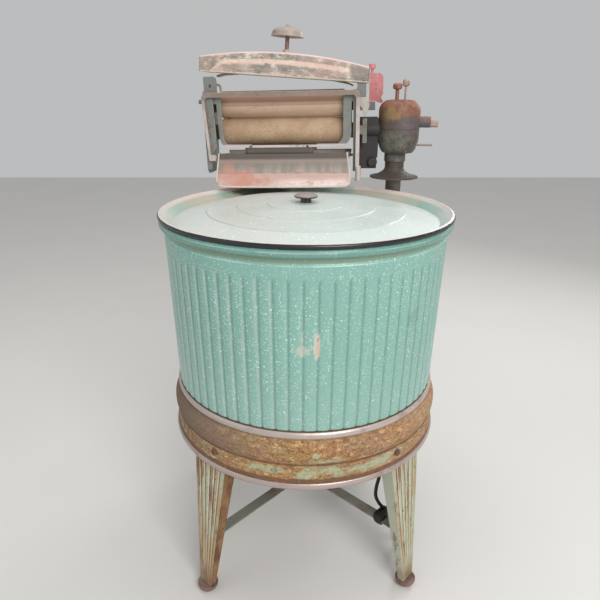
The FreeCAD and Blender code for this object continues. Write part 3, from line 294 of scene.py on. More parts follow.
def lid_enamel():
    """Nearly white enamel with mint flecks, a mint rim deepened at the back partly by painted shade, and a
    rolled edge black on its outer side; painted shade at its steps, a painted shadow under the drainboard.
    """
    paint = Paint("lid_enamel_worn", coat=0.15)
    reach, back = paint.radius(), paint.y
    paint.color = paint.mix(paint.noise(5), "c3cfca", "d3dcd8")
    warm = paint.times(paint.patches(3.2, 0.50, 0.14, shift=7), paint.band(paint.x, 0.06, -0.22))
    paint.lay("d3cbc0", warm, 0.75)
    flecks = paint.most(paint.dots(0.0045, 0.50, 0.50, 0.5), paint.dots(0.0030, 0.50, 0.45, 0.5))
    thin = paint.band(paint.noise(4, shift=7), 0.40, 0.65)
    paint.lay("a6c4ba", flecks, paint.blend(thin, 0.15, 0.50))
    bright = paint.most(paint.dots(0.0055, 0.36, 0.30, 0.4), paint.dots(0.0085, 0.18, 0.20, 0.3))
    paint.lay("fafcf8", bright, 0.9)
    # Painted shade along the lid's three pressed steps.
    for ring, tint in ((0.0810, "a9b0a6"), (0.1450, "a4aaa0"), (0.2070, "9da79c")):
        near = paint.times(paint.line(reach, ring, 0.0013), paint.patches(9, 0.40, 0.1, shift=5))
        paint.lay(tint, near, 0.50)
    # The mint rim, deeper towards the back: partly the rim's own green, partly painted shade.
    rim = paint.times(paint.band(reach, 0.2665, 0.2715), paint.band(reach, 0.2925, 0.2885))
    rim = paint.times(rim, paint.blend(paint.band(back, -0.06, 0.09), 0.10, 1.0))
    paint.lay(paint.mix(paint.noise(20), "8fb3a5", "a3c1b4"), rim, 0.9)
    tan = paint.times(paint.line(reach, 0.2650, 0.0065, 0.010, 20), paint.band(back, 0.04, 0.17),
                      paint.patches(9, 0.46, 0.1, shift=3))
    paint.lay("c9aa92", tan, 0.7)
    pink = paint.times(paint.patches(9, 0.53, 0.12, shift=21), paint.band(reach, 0.200, 0.258),
                       paint.band(back, -0.02, 0.12))
    paint.lay("d3b3a2", pink, 0.55)
    # A painted shadow of the wringer and its drainboard over the lid's back rim.
    drainboard_shadow = paint.spot((-0.085, 0.262, 0.80), (0.125, 0.038, 0.06), 0.5, 24)
    paint.lay("3c4a43", drainboard_shadow, 0.9)
    lip = paint.times(paint.band(reach, 0.2915, 0.2935), paint.patches(18, 0.40, 0.1, shift=8))
    paint.lay("dccfc9", lip, 0.75)
    out = paint.times(paint.minus(reach, LID_BEAD[0]), 0.77)
    up = paint.times(paint.minus(paint.z, LID_BEAD[1]), 0.64)
    wander = paint.wander(0.0012, 30)
    side = paint.plus(paint.minus(out, up), wander)
    black = paint.times(paint.band(side, -0.0002, 0.0004), paint.band(reach, 0.2900, 0.2915))
    jet = paint.mix(paint.times(paint.patches(30, 0.68, 0.03), 0.8), "17191b", "6b5a52")
    paint.lay(jet, black)
    rough = paint.blend(paint.band(paint.noise(10, shift=2), 0.35, 0.7), 0.30, 0.5)
    return paint.finish(rough, paint.noise(150, 2), 0.0003)


def skirt_rust():
    """Tan rust, the last of the pale green paint in the waist, dark rust along the pressed lines, and a
    painted shadow under the pressed step.
    """
    paint = Paint("skirt_rusted")
    height, across = paint.z, paint.x
    wide = (1, 1, 1.9)
    paint.color = paint.mix(paint.noise(38, 6, 0.7), "96693f", "bf965f")
    mauve = paint.times(paint.patches(9, 0.50, 0.14, 6, 0.65, wide, 41), 0.55)
    paint.lay("9c7767", mauve)
    olive = paint.times(paint.patches(11, 0.53, 0.08, 8, 0.72, (1, 1, 1.8), 5), 0.55)
    paint.lay("a39d74", olive)
    grain = paint.patches(85, 0.54, 0.06, 6, 0.75, wide, 3)
    paint.lay("6f452f", grain, 0.60)
    paint.lay("d8bc8a", paint.patches(75, 0.58, 0.05, 6, 0.7, wide, 9), 0.75)
    crumbs = paint.patches(230, 0.60, 0.04, 3, 0.6, wide, 13)
    paint.lay("5f3d2c", crumbs, 0.55)
    dusk = paint.times(paint.band(across, -0.02, -0.22), paint.band(height, 0.376, 0.384))
    paint.lay("7d6a5c", dusk, 0.80)
    blush = paint.times(paint.band(across, 0.05, 0.22), paint.patches(16, 0.40, 0.15, shift=12), 0.45)
    paint.lay("b28a70", blush)
    pale = paint.most(
        paint.spot((-0.083, -0.284, 0.3655), (0.044, 0.06, 0.0085), 0.50, 60),
        paint.spot((-0.008, -0.294, 0.3600), (0.026, 0.06, 0.0100), 0.55, 60),
        paint.spot((0.118, -0.270, 0.3635), (0.050, 0.08, 0.0090), 0.50, 60),
        paint.spot((0.160, -0.240, 0.3700), (0.030, 0.08, 0.0060), 0.60, 60),
        paint.spot((0.036, -0.292, 0.3900), (0.040, 0.06, 0.0035), 0.55, 60),
        paint.spot((0.010, -0.296, 0.4030), (0.008, 0.06, 0.0060), 0.50, 60),
        paint.times(paint.band(height, 0.377, 0.373), paint.band(height, 0.349, 0.353),
                    paint.patches(13, 0.56, 0.04, 8, 0.7, shift=30)))
    eaten = paint.patches(110, 0.57, 0.05, 5, 0.7, wide, 6)
    paint.lay("adb795", pale, 0.85, paint.blend(eaten, 1.0, 0.25))
    dark = paint.most(
        # The line at 0.3805 is a painted shadow under the pressed step; the thick line at 0.3445 and the
        # patches are dark rust.
        paint.times(paint.line(height, 0.3805, 0.0022, 0.004, 60), 0.85),
        paint.times(paint.line(height, 0.3905, 0.0006, 0.0015, 30), paint.patches(10, 0.45, 0.1), 0.6),
        paint.times(paint.line(height, 0.3445, 0.0048, 0.007, 60), 0.80),
        paint.times(paint.band(height, 0.4285, 0.4325), 0.8),
        paint.times(paint.patches(24, 0.64, 0.04, 7, 0.7, (1, 1, 1.6), 14), 0.6))
    paint.lay(paint.mix(paint.noise(60), "553a2e", "75503d"), dark)
    gloom = paint.times(paint.band(across, -0.19, -0.275), 0.45)
    paint.lay("6a5648", gloom)
    rough = paint.blend(pale, 0.85, 0.62)
    relief = paint.minus(paint.noise(150, 6, 0.7), paint.times(paint.most(dark, crumbs), 0.5))
    return paint.finish(rough, relief, 0.0011)


LEG_FOOT, LEG_TOP = (0.020, 0.036), (0.342, 0.100)


def leg_paint():
    """Chalky grey-green paint on the grooved legs, rust in the grooves and in long streaks, a painted
    highlight on the ridge beside each groove.
    """
    paint = Paint("leg_rusted")
    height = paint.z
    sides = [paint.size(side) for side in (paint.x, paint.y)]
    off_middle = paint.times(paint.size(paint.minus(*sides)), math.sqrt(0.5))
    slope = (LEG_TOP[1] - LEG_FOOT[1]) / (LEG_TOP[0] - LEG_FOOT[0])
    width = paint.plus(paint.times(paint.minus(height, LEG_FOOT[0]), slope), LEG_FOOT[1])
    spacing = paint.times(paint.minus(width, 0.0064), 1 / 5.6)
    steps = paint.math("DIVIDE", off_middle, spacing)
    off_groove = paint.math("PINGPONG", steps, 0.5)
    on_face = paint.band(steps, 2.55, 2.45)
    groove = paint.times(paint.band(off_groove, 0.13, 0.03), on_face)
    ridge = paint.times(paint.line(off_groove, 0.22, 0.05), on_face)
    paint.color = paint.mix(paint.noise(16, shift=9), "a9ab90", "bcc0a6")
    streak = (1, 1, 0.10)
    left = paint.band(paint.x, 0.02, -0.02)
    tan = paint.band(paint.plus(paint.noise(30, 6, 0.65, streak, 2), paint.times(left, 0.05)), 0.45, 0.60)
    paint.lay("b08f68", tan, 0.80)
    worst = paint.plus(paint.noise(34, 7, 0.7, (1, 1, 0.16), 8), paint.times(left, 0.07))
    brown = paint.band(worst, 0.57, 0.66)
    paint.lay("7d5238", brown, 0.85)
    pits = paint.patches(150, 0.61, 0.05, 4, 0.65, (1, 1, 0.5), 27)
    paint.lay("6a4733", pits, 0.6)
    # A painted highlight along the ridge beside each groove.
    paint.lay("ddddc8", ridge, 0.55, paint.patches(20, 0.42, 0.1, 5, 0.6, streak, 4))
    flange = paint.band(paint.minus(off_middle, paint.times(width, 0.5)), -0.0016, -0.0006)
    rusty = paint.mix(paint.patches(26, 0.50, 0.10, 8, 0.7, (1, 1, 0.5), 17), "8f6c48", "6b4630")
    rusty = paint.mix(paint.patches(40, 0.62, 0.05, 6, 0.7, (1, 1, 0.4), 33), rusty, "b39a68")
    clean = paint.mix(paint.patches(20, 0.62, 0.04, 8, 0.7, (1, 1, 0.5), 19), "b0b5a3", "8a765c")
    side = paint.mix(paint.band(paint.x, -0.01, 0.01), rusty, clean)
    paint.lay(side, flange)
    paint.lay("54392b", groove, 0.85)
    nicks = paint.dots(0.012, 0.28, 0.16)
    paint.lay("4d3a2e", nicks, 0.8)
    foot = paint.times(paint.band(height, 0.085, 0.025), paint.patches(30, 0.45, 0.15, shift=23))
    paint.lay("8a6548", foot, 0.7)
    relief = paint.minus(paint.noise(130, 5, 0.65), paint.times(brown, 0.5))
    normal, wear_and_sheen = paint.edges(0.0015)
    paint.lay("6a4430", wear_and_sheen, 0.45, paint.patches(50, 0.45, 0.1))
    return paint.finish(paint.blend(tan, 0.6, 0.85), relief, 0.0006, normal=normal)


# The cover in its own frame: its ends and lower edge, its top at the ends and in the middle, half its
# depth, its arch's rise and radius, and the top of its pressed ridge with the share of the arch it follows.
COVER_LEFT, COVER_RIGHT, COVER_LOW = -0.1890, 0.2075, 0.0757
COVER_MIDDLE = (COVER_LEFT + COVER_RIGHT) / 2
COVER_END, COVER_CROWN, COVER_HALF = 0.1100, 0.1285, 0.055
COVER_ARCH = COVER_CROWN - COVER_END
COVER_SWEEP = (((COVER_RIGHT - COVER_LEFT) / 2) ** 2 / COVER_ARCH + COVER_ARCH) / 2
RIDGE_TOP, RIDGE_ARCH = 0.1080, 0.773


def worn_paint(name, paints, rusts, level=0.5, scale=14, streak=(1, 1, 1), bump=0.0006, rough=(0.55, 0.85),
               frame_of=None, edge="6d4c3a", edge_share=0.6, extra=None):
    """Old paint in two tints, gone to rust in ragged patches and along its edges."""
    paint = Paint(name, frame_of)
    broad = paint.noise(scale, 8, 0.68, streak)
    fine = paint.noise(scale * 7, 5, 0.6, shift=4)
    eaten = paint.plus(paint.times(broad, 0.8), paint.times(fine, 0.2))
    bare = paint.band(eaten, level, level + 0.05)
    shade = paint.mix(paint.noise(scale * 0.7, shift=9), paints[0], paints[1])
    rust = paint.mix(paint.patches(scale * 4, 0.5, 0.15, 6, 0.7, shift=2), rusts[0], rusts[1])
    halo = paint.times(paint.band(eaten, level - 0.07, level), 0.5)
    paint.color = paint.mix(bare, paint.mix(halo, shade, rust), rust)
    if extra is not None:
        extra(paint)
    paint.lay("3a2a20", paint.dots(0.006, 0.3, 0.25), 0.4)
    normal, wear_and_sheen = paint.edges()
    paint.lay(edge, wear_and_sheen, edge_share, paint.patches(60, 0.45, 0.1))
    relief = paint.minus(paint.times(fine, 0.6), paint.times(bare, 0.5))
    return paint.finish(paint.blend(bare, rough[0], rough[1]), relief, bump, normal=normal)


def worn_metal(name, tints, stain, amount=0.5, scale=12, stretch=(1, 1, 1), metallic=0.75,
               rough=(0.32, 0.6), frame_of=None, extra=None, edge="d8c8bc"):
    """Bare metal, dulled, with stains of old rust or dirt and bright edges."""
    paint = Paint(name, frame_of)
    scratch = paint.noise(scale * 9, 3, 0.6, stretch)
    cloud = paint.noise(scale, 6, 0.62)
    paint.color = paint.mix(scratch, tints[0], tints[1])
    dirty = paint.band(cloud, 0.72 - 0.3 * amount, 0.82 - 0.3 * amount)
    paint.lay(stain, dirty, 0.85)
    if extra is not None:
        extra(paint)
    paint.lay("54433a", paint.dots(0.005, 0.3, 0.25), 0.35)
    normal, wear_and_sheen = paint.edges()
    paint.lay(edge, wear_and_sheen, 0.6)
    shine = paint.blend(dirty, metallic, metallic * 0.25)
    return paint.finish(paint.blend(paint.band(cloud, 0.3, 0.7), rough[0], rough[1]), scratch, 0.0002,
                        metallic=shine, normal=normal)


def cover_grime(paint):
    """Grey-green grime above and below the cover's pressed ridge, partly painted shade below it; painted pink
    and cream highlights on the ridge and its slanted end, and a painted highlight along the top edge.
    """
    across, depth, height = paint.x, paint.y, paint.z
    off = paint.minus(across, COVER_MIDDLE)
    ridge = paint.plus(height, paint.times(off, off, RIDGE_ARCH / (2 * COVER_SWEEP)))
    ridge = paint.plus(ridge, paint.wander(0.006, 30, 3))
    front = paint.band(depth, -0.051, -0.054)
    on_panel = paint.times(paint.band(across, -0.150, -0.132), paint.band(across, 0.166, 0.150))
    above = paint.times(paint.line(ridge, 0.1185, 0.0070, 0.006, 50),
                        paint.patches(52, 0.44, 0.12, 7, 0.75, (0.6, 1, 1), 5))
    # Below the ridge the grey is partly grime, partly painted shade on the front-facing lower panel.
    below = paint.times(paint.line(ridge, 0.0915, 0.0095, 0.007, 50),
                        paint.patches(56, 0.43, 0.12, 7, 0.75, (0.5, 1, 1), 12))
    ends = paint.most(paint.band(across, -0.140, -0.158), paint.band(across, 0.158, 0.170))
    ends = paint.times(ends, paint.patches(26, 0.36, 0.18, 6, 0.7, shift=31))
    grime = paint.times(front, paint.most(paint.times(on_panel, paint.most(above, below)), ends))
    tint = paint.mix(paint.patches(70, 0.52, 0.08, 5, 0.7, (0.6, 1, 1), 3), "8c8a81", "6d746a")
    paint.lay(tint, grime, 0.92)
    scratched = paint.patches(120, 0.58, 0.04, 7, 0.78, (0.45, 1, 1), 15)
    paint.lay("585b54", scratched, front, 0.70)
    flaked = paint.patches(100, 0.57, 0.04, 7, 0.78, (0.5, 1, 1), 52)
    paint.lay("e6ddd4", flaked, front, 0.75)
    # Painted highlights along the ridge and up the panel's slanted left end.
    lit = paint.times(paint.line(ridge, 0.1075, 0.0040, 0.004, 40), on_panel, front)
    slant = paint.minus(across, paint.times(paint.minus(height, COVER_LOW), 1.15))
    corner = paint.times(paint.line(slant, -0.1630, 0.0055, 0.004, 40), front,
                         paint.band(height, 0.112, 0.106))
    paint.lay("dfbfae", paint.most(lit, corner), 0.75)
    cream_highlight = paint.times(paint.most(lit, corner), paint.patches(60, 0.56, 0.06, 6, 0.7, (0.6, 1, 1), 44))
    paint.lay("e6dcc0", cream_highlight, 0.7)
    pink = paint.times(paint.patches(10, 0.52, 0.12, 5, 0.6, (0.6, 1, 1.6), 8), 0.5)
    paint.lay("c9a396", pink)
    end = paint.times(paint.band(across, 0.160, 0.172), 0.45)
    paint.lay("6f736a", end)
    # A painted pink highlight along the cover's top edge.
    fold = paint.plus(height, paint.times(off, off, 0.5 / COVER_SWEEP))
    crest = paint.band(fold, COVER_CROWN - 0.0050, COVER_CROWN - 0.0020)
    paint.lay("ebc9c0", crest, 0.75)
    hem = paint.times(paint.band(height, 0.0795, 0.0775), paint.patches(40, 0.38, 0.1))
    paint.lay("ddd2bd", hem, 0.85)


def board_stains(paint):
    """Painted shade over the upper part and a painted shadow along the top under the guard, drip marks below
    it, a lighter, pinker lower part that is partly its tint and partly painted light, a rust-pink stain along
    the bottom, painted highlights on the lip.
    """
    across, height = paint.x, paint.z
    ragged = paint.plus(height, paint.wander(0.006, 40, 4))
    # Painted shade over the board's upper part, and a darker painted shadow along its top under the guard.
    paint.lay("7d736b", paint.band(ragged, -0.128, -0.104), 0.60)
    paint.lay("4e4944", paint.band(height, -0.099, -0.092), 0.80)
    drips = paint.times(paint.patches(50, 0.46, 0.16, 5, 0.6, (1, 0.05, 0.16), 3),
                        paint.line(ragged, -0.114, 0.011, 0.012, 60))
    paint.lay("7a7d74", drips, 0.65)
    tide = paint.times(paint.line(ragged, -0.124, 0.0012, 0.003, 70), paint.patches(24, 0.45, 0.1, shift=6))
    paint.lay("8f6f66", tide, 0.5)
    # The lower part lighter and pinker: partly its tint, partly painted light on the flatter lip.
    paint.lay("d6a9a0", paint.band(ragged, -0.122, -0.130), 0.50)
    rust = paint.spot((-0.098, -0.098, -0.136), (0.066, 0.06, 0.020), 0.9, 30)
    rust = paint.times(rust, paint.patches(30, 0.40, 0.2, 7, 0.7, (0.6, 1, 1), 18))
    tail = paint.times(paint.spot((-0.132, -0.070, -0.116), (0.014, 0.04, 0.020), 0.7, 40), 0.6)
    paint.lay("c98369", paint.most(rust, tail), 0.65)
    # Pale blotches on the right of the lip are painted highlights.
    wear_and_sheen = paint.times(paint.band(height, -0.132, -0.147), paint.band(across, -0.06, 0.05),
                       paint.patches(30, 0.46, 0.08, 7, 0.68, (0.6, 1, 1), 9))
    paint.lay("ecdcd6", wear_and_sheen, 0.85)
    scuffs = paint.times(paint.band(height, -0.120, -0.130),
                         paint.patches(70, 0.60, 0.05, 6, 0.7, (0.4, 1, 1), 29))
    paint.lay("a57f78", scuffs, 0.4)


def head_stains(paint):
    """Orange-brown over the top of the head, purple-grey round its seam, greenish under it."""
    height, across = paint.z, paint.x
    wander = paint.wander(0.040, 24, 4)
    level = paint.plus(height, wander)
    rust = paint.mix(paint.patches(50, 0.50, 0.12, 6, 0.7, shift=3), "97664a", "7b4c38")
    paint.lay(rust, paint.band(level, 0.966, 0.996), 0.85)
    gold = paint.times(paint.spot((0.208, 0.225, 0.985), (0.022, 0.05, 0.022), 0.8, 60), 0.5)
    paint.lay("9a8452", gold)
    mid = paint.times(paint.line(level, 0.962, 0.016, 0.010, 20), 0.85)
    paint.lay(paint.mix(paint.band(across, 0.21, 0.25), "574a42", "605659"), mid)
    low = paint.times(paint.band(level, 0.952, 0.935), 0.80)
    green = paint.mix(paint.patches(36, 0.50, 0.10, 6, 0.68, shift=12), "4a4741", "646a5c")
    paint.lay(green, low)
    chipped = paint.patches(70, 0.62, 0.05, 6, 0.7, shift=25)
    paint.lay("8d7a6c", chipped, 0.5)
    seam = paint.line(height, 0.954, 0.0011)
    paint.lay("2e2725", seam, 0.7)


def bracket_stains(paint):
    """The screwed plug at the head's right side has kept a pinkish, handled look."""
    handled = paint.band(paint.x, 0.292, 0.296)
    paint.lay(paint.mix(paint.noise(80, 4), "a98a80", "c3a69a"), handled, 0.85)


def guard_shine(paint):
    """A painted pinkish highlight along the guard's lower bar."""
    painted_sheen = paint.times(paint.band(paint.z, -0.0590, -0.0620), paint.patches(30, 0.34, 0.12, shift=4))
    paint.lay("d6c8c4", painted_sheen, 0.85)


def bar_tone_and_sheen(paint):
    """The top of the bar darker brown in patches, its upright ends pale with a painted highlight."""
    top_patches = paint.patches(20, 0.36, 0.16, 6, 0.7, (0.4, 1, 1), 2)
    top = paint.times(paint.band(paint.z, 0.040, 0.048), top_patches)
    paint.lay("877468", top, 0.75)
    # Painted highlight on the upright ends.
    upright = paint.times(paint.band(paint.z, 0.030, 0.010), paint.patches(34, 0.40, 0.14, shift=11))
    paint.lay("cfc4c0", upright, 0.8)


def roll_rubber(name, low, high, ringed):
    """Old natural rubber: banded where it has run against its partner, else finely crazed."""
    paint = Paint(name, WRINGER)
    height = paint.z
    along = (0.02, 1, 1)
    bands = paint.noise(60, 6, 0.7, along) if ringed else paint.noise(14, 5)
    paint.color = paint.mix(paint.band(bands, 0.35, 0.65), low, high)
    cracks = paint.node("ShaderNodeTexVoronoi", {"feature": "DISTANCE_TO_EDGE"}, Vector=paint.place,
                        Scale=170.0)
    lines = paint.times(paint.band(cracks.outputs["Distance"], 0.09, 0.02),
                        paint.patches(22, 0.45, 0.15, shift=4))
    lines = paint.times(lines, 0.18 if ringed else 0.50)
    paint.lay("94745a", lines)
    if ringed:
        for level, half, tint in ((0.0470, 0.0060, "b08072"), (0.0390, 0.0022, "a97870"),
                                  (0.0300, 0.0016, "a58270")):
            stripe = paint.times(paint.line(height, level, half, 0.003, 12), 0.60)
            paint.lay(tint, stripe)
    ends = paint.band(paint.size(paint.x), 0.138, 0.152)
    paint.lay("97826d", ends, 0.35)
    grime = paint.patches(18, 0.64, 0.08, 6, 0.6, shift=3)
    paint.lay("8d7560", grime, 0.35)
    relief = paint.minus(paint.noise(220, 2), paint.times(lines, 1.4))
    return paint.finish(0.62, relief, 0.0004)


def plain(name, dark, light, rough=(0.4, 0.6), scale=60, bump=0.0002, dusty=0.25):
    paint = Paint(name)
    cloud = paint.noise(scale, 5)
    paint.color = paint.mix(cloud, dark, light)
    paint.lay("8a7d70", paint.patches(scale * 0.3, 0.65, 0.1, 5, shift=6), dusty)
    normal, wear_and_sheen = paint.edges(0.001)
    paint.lay("6d6259", wear_and_sheen, 0.2)
    return paint.finish(paint.blend(cloud, rough[0], rough[1]), cloud, bump, normal=normal)


def bead_metal():
    """Satin aluminium gone pinkish, dull, with a few bright nicks."""
    paint = Paint("bead_satin")
    paint.color = paint.mix(paint.noise(24, 5), "b8aba4", "cdc1bb")
    lower = paint.band(paint.z, 0.345, 0.335)
    paint.lay("ab9590", lower, 0.50)
    left = paint.times(paint.band(paint.x, 0.05, -0.20), 0.30)
    paint.lay("a3968e", left)
    stain = paint.times(paint.patches(22, 0.62, 0.08, 6, shift=7), 0.5)
    paint.lay("8d6e62", stain)
    paint.lay("e2d6d2", paint.dots(0.014, 0.30, 0.14))
    return paint.finish(paint.blend(paint.noise(30, 3), 0.30, 0.46), paint.noise(120, 3), 0.0003,
                        metallic=0.45)


def knob_enamel():
    """Black knob, its top rubbed to a grey-brown."""
    paint = Paint("lid_knob_rubbed", coat=0.3)
    top = paint.times(paint.band(paint.z, 0.8335, 0.8375), paint.patches(38, 0.34, 0.12, shift=2))
    paint.color = paint.mix(paint.noise(70), "1b1918", "2b2624")
    paint.lay("a39892", top, 0.85)
    return paint.finish(paint.blend(top, 0.30, 0.48), paint.noise(120, 3), 0.0003)


RUST = ("7a4526", "a5683c")
looks = {
    "tub": tub_enamel(),
    "lid": lid_enamel(),
    "skirt": skirt_rust(),
    "leg": leg_paint(),
    "bead": bead_metal(),
    "brace": worn_paint("brace_rusted", ("8f8f84", "858478"), ("74584a", "866c5c"), 0.57, 18, edge="a39a8c"),
    "iron": worn_paint("iron_rusted", ("4a4a45", "565750"), ("5b3b28", "7a5238"), 0.50, 22),
    "glide": worn_paint("glide_rusted", ("7d655c", "8b7268"), ("614840", "75574b"), 0.50, 30, edge="a08679"),
    "bolt": worn_paint("bolt_rusted", ("7a5745", "876350"), ("5b3b2c", "6f4a38"), 0.52, 60, edge="93705c"),
    "motor": worn_paint("motor_black", ("2c2e2d", "3a3c3a"), RUST, 0.66, 20),
    "steel": worn_metal("steel_worn", ("9b8f86", "b9aca1"), "7d5f50", 0.50, stretch=(0.1, 1, 1),
                        metallic=0.5),
    "bar": worn_metal("bar_worn", ("a3968c", "bdb0a6"), "84695b", 0.50, 24, metallic=0.35, frame_of=WRINGER,
                      extra=bar_tone_and_sheen, edge="e6dcd6"),
    "nut": worn_metal("nut_worn", ("b9aaa0", "cbbdb3"), "84695b", 0.40, 24, metallic=0.35),
    "screw": worn_metal("screw_rusted", ("84645a", "93736a"), "6a453a", 0.70, metallic=0.4),
    "cast": worn_metal("cast_dull", ("a8a29a", "c2bcb2"), "7b6c60", 0.35, metallic=0.4),
    "post": worn_metal("post_stained", ("6a665d", "837c70"), "54463c", 0.65, metallic=0.3,
                       rough=(0.45, 0.75)),
    # The cover's pale pink edge tint is a painted highlight on its rounded edges.
    "cover": worn_metal("cover_worn", ("cdb9af", "dccdc2"), "a9917f", 0.35, 14, metallic=0.12,
                        rough=(0.45, 0.68), extra=cover_grime, edge="e6c3b8"),
    "board": worn_metal("board_worn", ("b3a299", "c4b4aa"), "a08a7e", 0.45, 11, metallic=0.12,
                        rough=(0.42, 0.65), extra=board_stains, edge="dac9c0"),
    "rear_board": worn_metal("rear_board_worn", ("8f857e", "a2968c"), "7d6a5e", 0.50, 11, metallic=0.15,
                             rough=(0.42, 0.65), frame_of=WRINGER),
    "rim": worn_metal("board_rim_pale", ("cfc0b5", "dccfc4"), "b49a8c", 0.45, 30, metallic=0.1,
                      rough=(0.4, 0.6)),
    # The guard's pale edges are partly worn metal, partly painted highlight.
    "guard": worn_paint("guard_grey", ("868a84", "777c76"), ("75604f", "8f7a66"), 0.62, 24, frame_of=WRINGER,
                        edge="cfc8c0", edge_share=0.9, extra=guard_shine),
    "frame": worn_paint("frame_worn", ("858985", "747872"), ("675446", "857161"), 0.57, 20, frame_of=WRINGER,
                        edge="c3bab2", edge_share=0.8),
    "head": worn_paint("head_cast", ("544c47", "5f5751"), ("5b4136", "70574a"), 0.54, 30, extra=head_stains,
                       rough=(0.5, 0.75), edge="8d786b", edge_share=0.5, bump=0.0012),
    "dark_cast": worn_paint("bracket_dark", ("2b292a", "353132"), ("3d302c", "4f4039"), 0.56, 24,
                            edge="5a504d", extra=bracket_stains),
    "collar": worn_paint("collar_brown", ("474039", "524a43"), ("403028", "514037"), 0.52, 24,
                         edge="80746a"),
    "red": worn_paint("lever_red_worn", ("cb7577", "db8c8d"), ("dcaba6", "bd7778"), 0.52, 34,
                      rough=(0.4, 0.7), edge="dcb3ae", frame_of=WRINGER),
    "shift": worn_paint("shift_brown", ("8f5a50", "a06b62"), ("5f4036", "7a5a4e"), 0.55, 40, edge="c39a8e"),
    "lock": worn_metal("lock_lever_brown", ("86706a", "9c857b"), "5f4a42", 0.55, 30, metallic=0.3),
    "plunger": worn_paint("plunger_beige", ("a8917f", "b8a08e"), ("7a5c4c", "8f7262"), 0.54, 40),
    "upper_roll": roll_rubber("upper_roll_banded", "b8977f", "ccb098", True),
    "lower_roll": roll_rubber("lower_roll_crazed", "b39478", "c6aa8c", False),
    "knob": knob_enamel(),
    "press_knob": worn_metal("press_knob_grey", ("9a9087", "aba196"), "857467", 0.5, 14, metallic=0.2,
                             rough=(0.5, 0.7), edge="c59f92"),
    "plug": plain("plug_black", "121314", "232425", (0.3, 0.5), 80),
    "cord": plain("cord_black", "181614", "2b2622", (0.5, 0.75), 200),
    "belt": plain("belt_black", "1a1a1a", "2a2a2a", (0.6, 0.8), 200),
    "tie": plain("tie_black", "202020", "303030", (0.5, 0.7), 150),
    "agitator": worn_metal("agitator_cast", ("a5a49e", "c1c0ba"), "8e8a80", 0.3),
}
worn_by = {
    "tub": ["tub"], "lid": ["lid"], "knob": ["lid_knob"], "skirt": ["skirt"],
    "bead": ["skirt_upper_bead", "skirt_lower_bead"],
    "leg": ["leg_front_left", "leg_front_right", "leg_rear_left", "leg_rear_right"],
    "glide": ["foot_glides"], "brace": ["brace_bar_left", "brace_bar_right"],
    "iron": ["post_base", "gearcase", "driven_pulley", "motor_pulley", "drain_elbow", "roll_bearings"],
    "bolt": ["frame_bolts"],
    "belt": ["drive_belt"], "motor": ["motor"], "agitator": ["centre_tube", "agitator"],
    "steel": ["agitator_shaft", "cross_shaft", "post_drive_shaft", "lower_roll_shaft", "upper_roll_shaft",
              "pressure_spring", "cover_latch"],
    "lock": ["lock_lever"], "screw": ["pressure_screw"], "post": ["wringer_post"], "collar": ["post_collar"],
    "head": ["head_housing", "head_cap"], "shift": ["shift_lever"], "plunger": ["lock_plunger"],
    "dark_cast": ["wringer_bracket", "wringer_bolts"], "frame": ["end_frame_left", "end_frame_right"],
    "cast": ["latch_casting"], "bar": ["release_bar"], "guard": ["feed_guard_front", "feed_guard_rear"],
    "board": ["drainboard_front"], "rear_board": ["drainboard_rear", "flipper_board"],
    "lower_roll": ["lower_roll"], "upper_roll": ["upper_roll"], "cover": ["top_cover"],
    "press_knob": ["pressure_knob"], "red": ["release_lever"],
    "cord": ["power_cord", "cord_coil", "cord_gland", "cord_clip"], "plug": ["cord_plug"],
}
for look_name, names in worn_by.items():
    for name in names:
        nodes[name].data.materials.clear()
        nodes[name].data.materials.append(looks[look_name])


# ---------------------------------------------------------------- pieces built here

def settle(name, data, body, place):
    """An object of this data, in its place, riding on a body."""
    thing = bpy.data.objects.new(name, data)
    thing.matrix_world = place
    scene.collection.objects.link(thing)
    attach(thing, body)
    return thing


def piece(name, vertices, faces, look, body, place=Matrix(), hides=(), sharp=35):
    """A mesh from points and faces in its own frame, smooth but for its sharp edges."""
    mesh = bpy.data.meshes.new(name)
    mesh.from_pydata(vertices, [], faces)
    mesh.validate()
    mesh.materials.append(looks[look])
    mesh.shade_smooth()
    mesh.set_sharp_from_angle(angle=math.radians(sharp))
    thing = settle(name, mesh, body, place)
    if hides:
        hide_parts(*hides)
    return thing


def grid_faces(rows, columns, wrap=False, flip=False):
    """Faces of a grid of points laid out row after row; wrap joins its last column to the first."""
    faces = []
    for row in range(rows - 1):
        for column in range(columns if wrap else columns - 1):
            after = (column + 1) % columns
            corners = [row * columns + column, row * columns + after,
                       (row + 1) * columns + after, (row + 1) * columns + column]
            faces.append(corners[::-1] if flip else corners)
    return faces


def thicken(thing, thickness, offset=-1):
    sheet = thing.modifiers.new("sheet", "SOLIDIFY")
    sheet.thickness, sheet.offset = thickness, offset


def smooth(value, low, high):
    """0 at low, 1 at high, smooth between."""
    share = min(max((value - low) / (high - low), 0), 1)
    return share * share * (3 - 2 * share)


def round_tube(name, path, radius, look, body, place=Matrix()):
    """A smooth rod of round section along points."""
    curve = bpy.data.curves.new(name, "CURVE")
    curve.dimensions = "3D"
    curve.bevel_depth = radius
    curve.bevel_resolution = 4
    curve.resolution_u = 8
    curve.use_fill_caps = True
    spline = curve.splines.new("NURBS")
    spline.points.add(len(path) - 1)
    for point, where in zip(spline.points, path):
        point.co = (*where, 1)
    spline.order_u = 3
    spline.use_endpoint_u = True
    curve.materials.append(looks[look])
    return settle(name, curve, body, place)


# ---------------------------------------------------------------- tub

COLUMNS_PER_FLUTE = 10
FLUTE_DEPTH = 0.0027


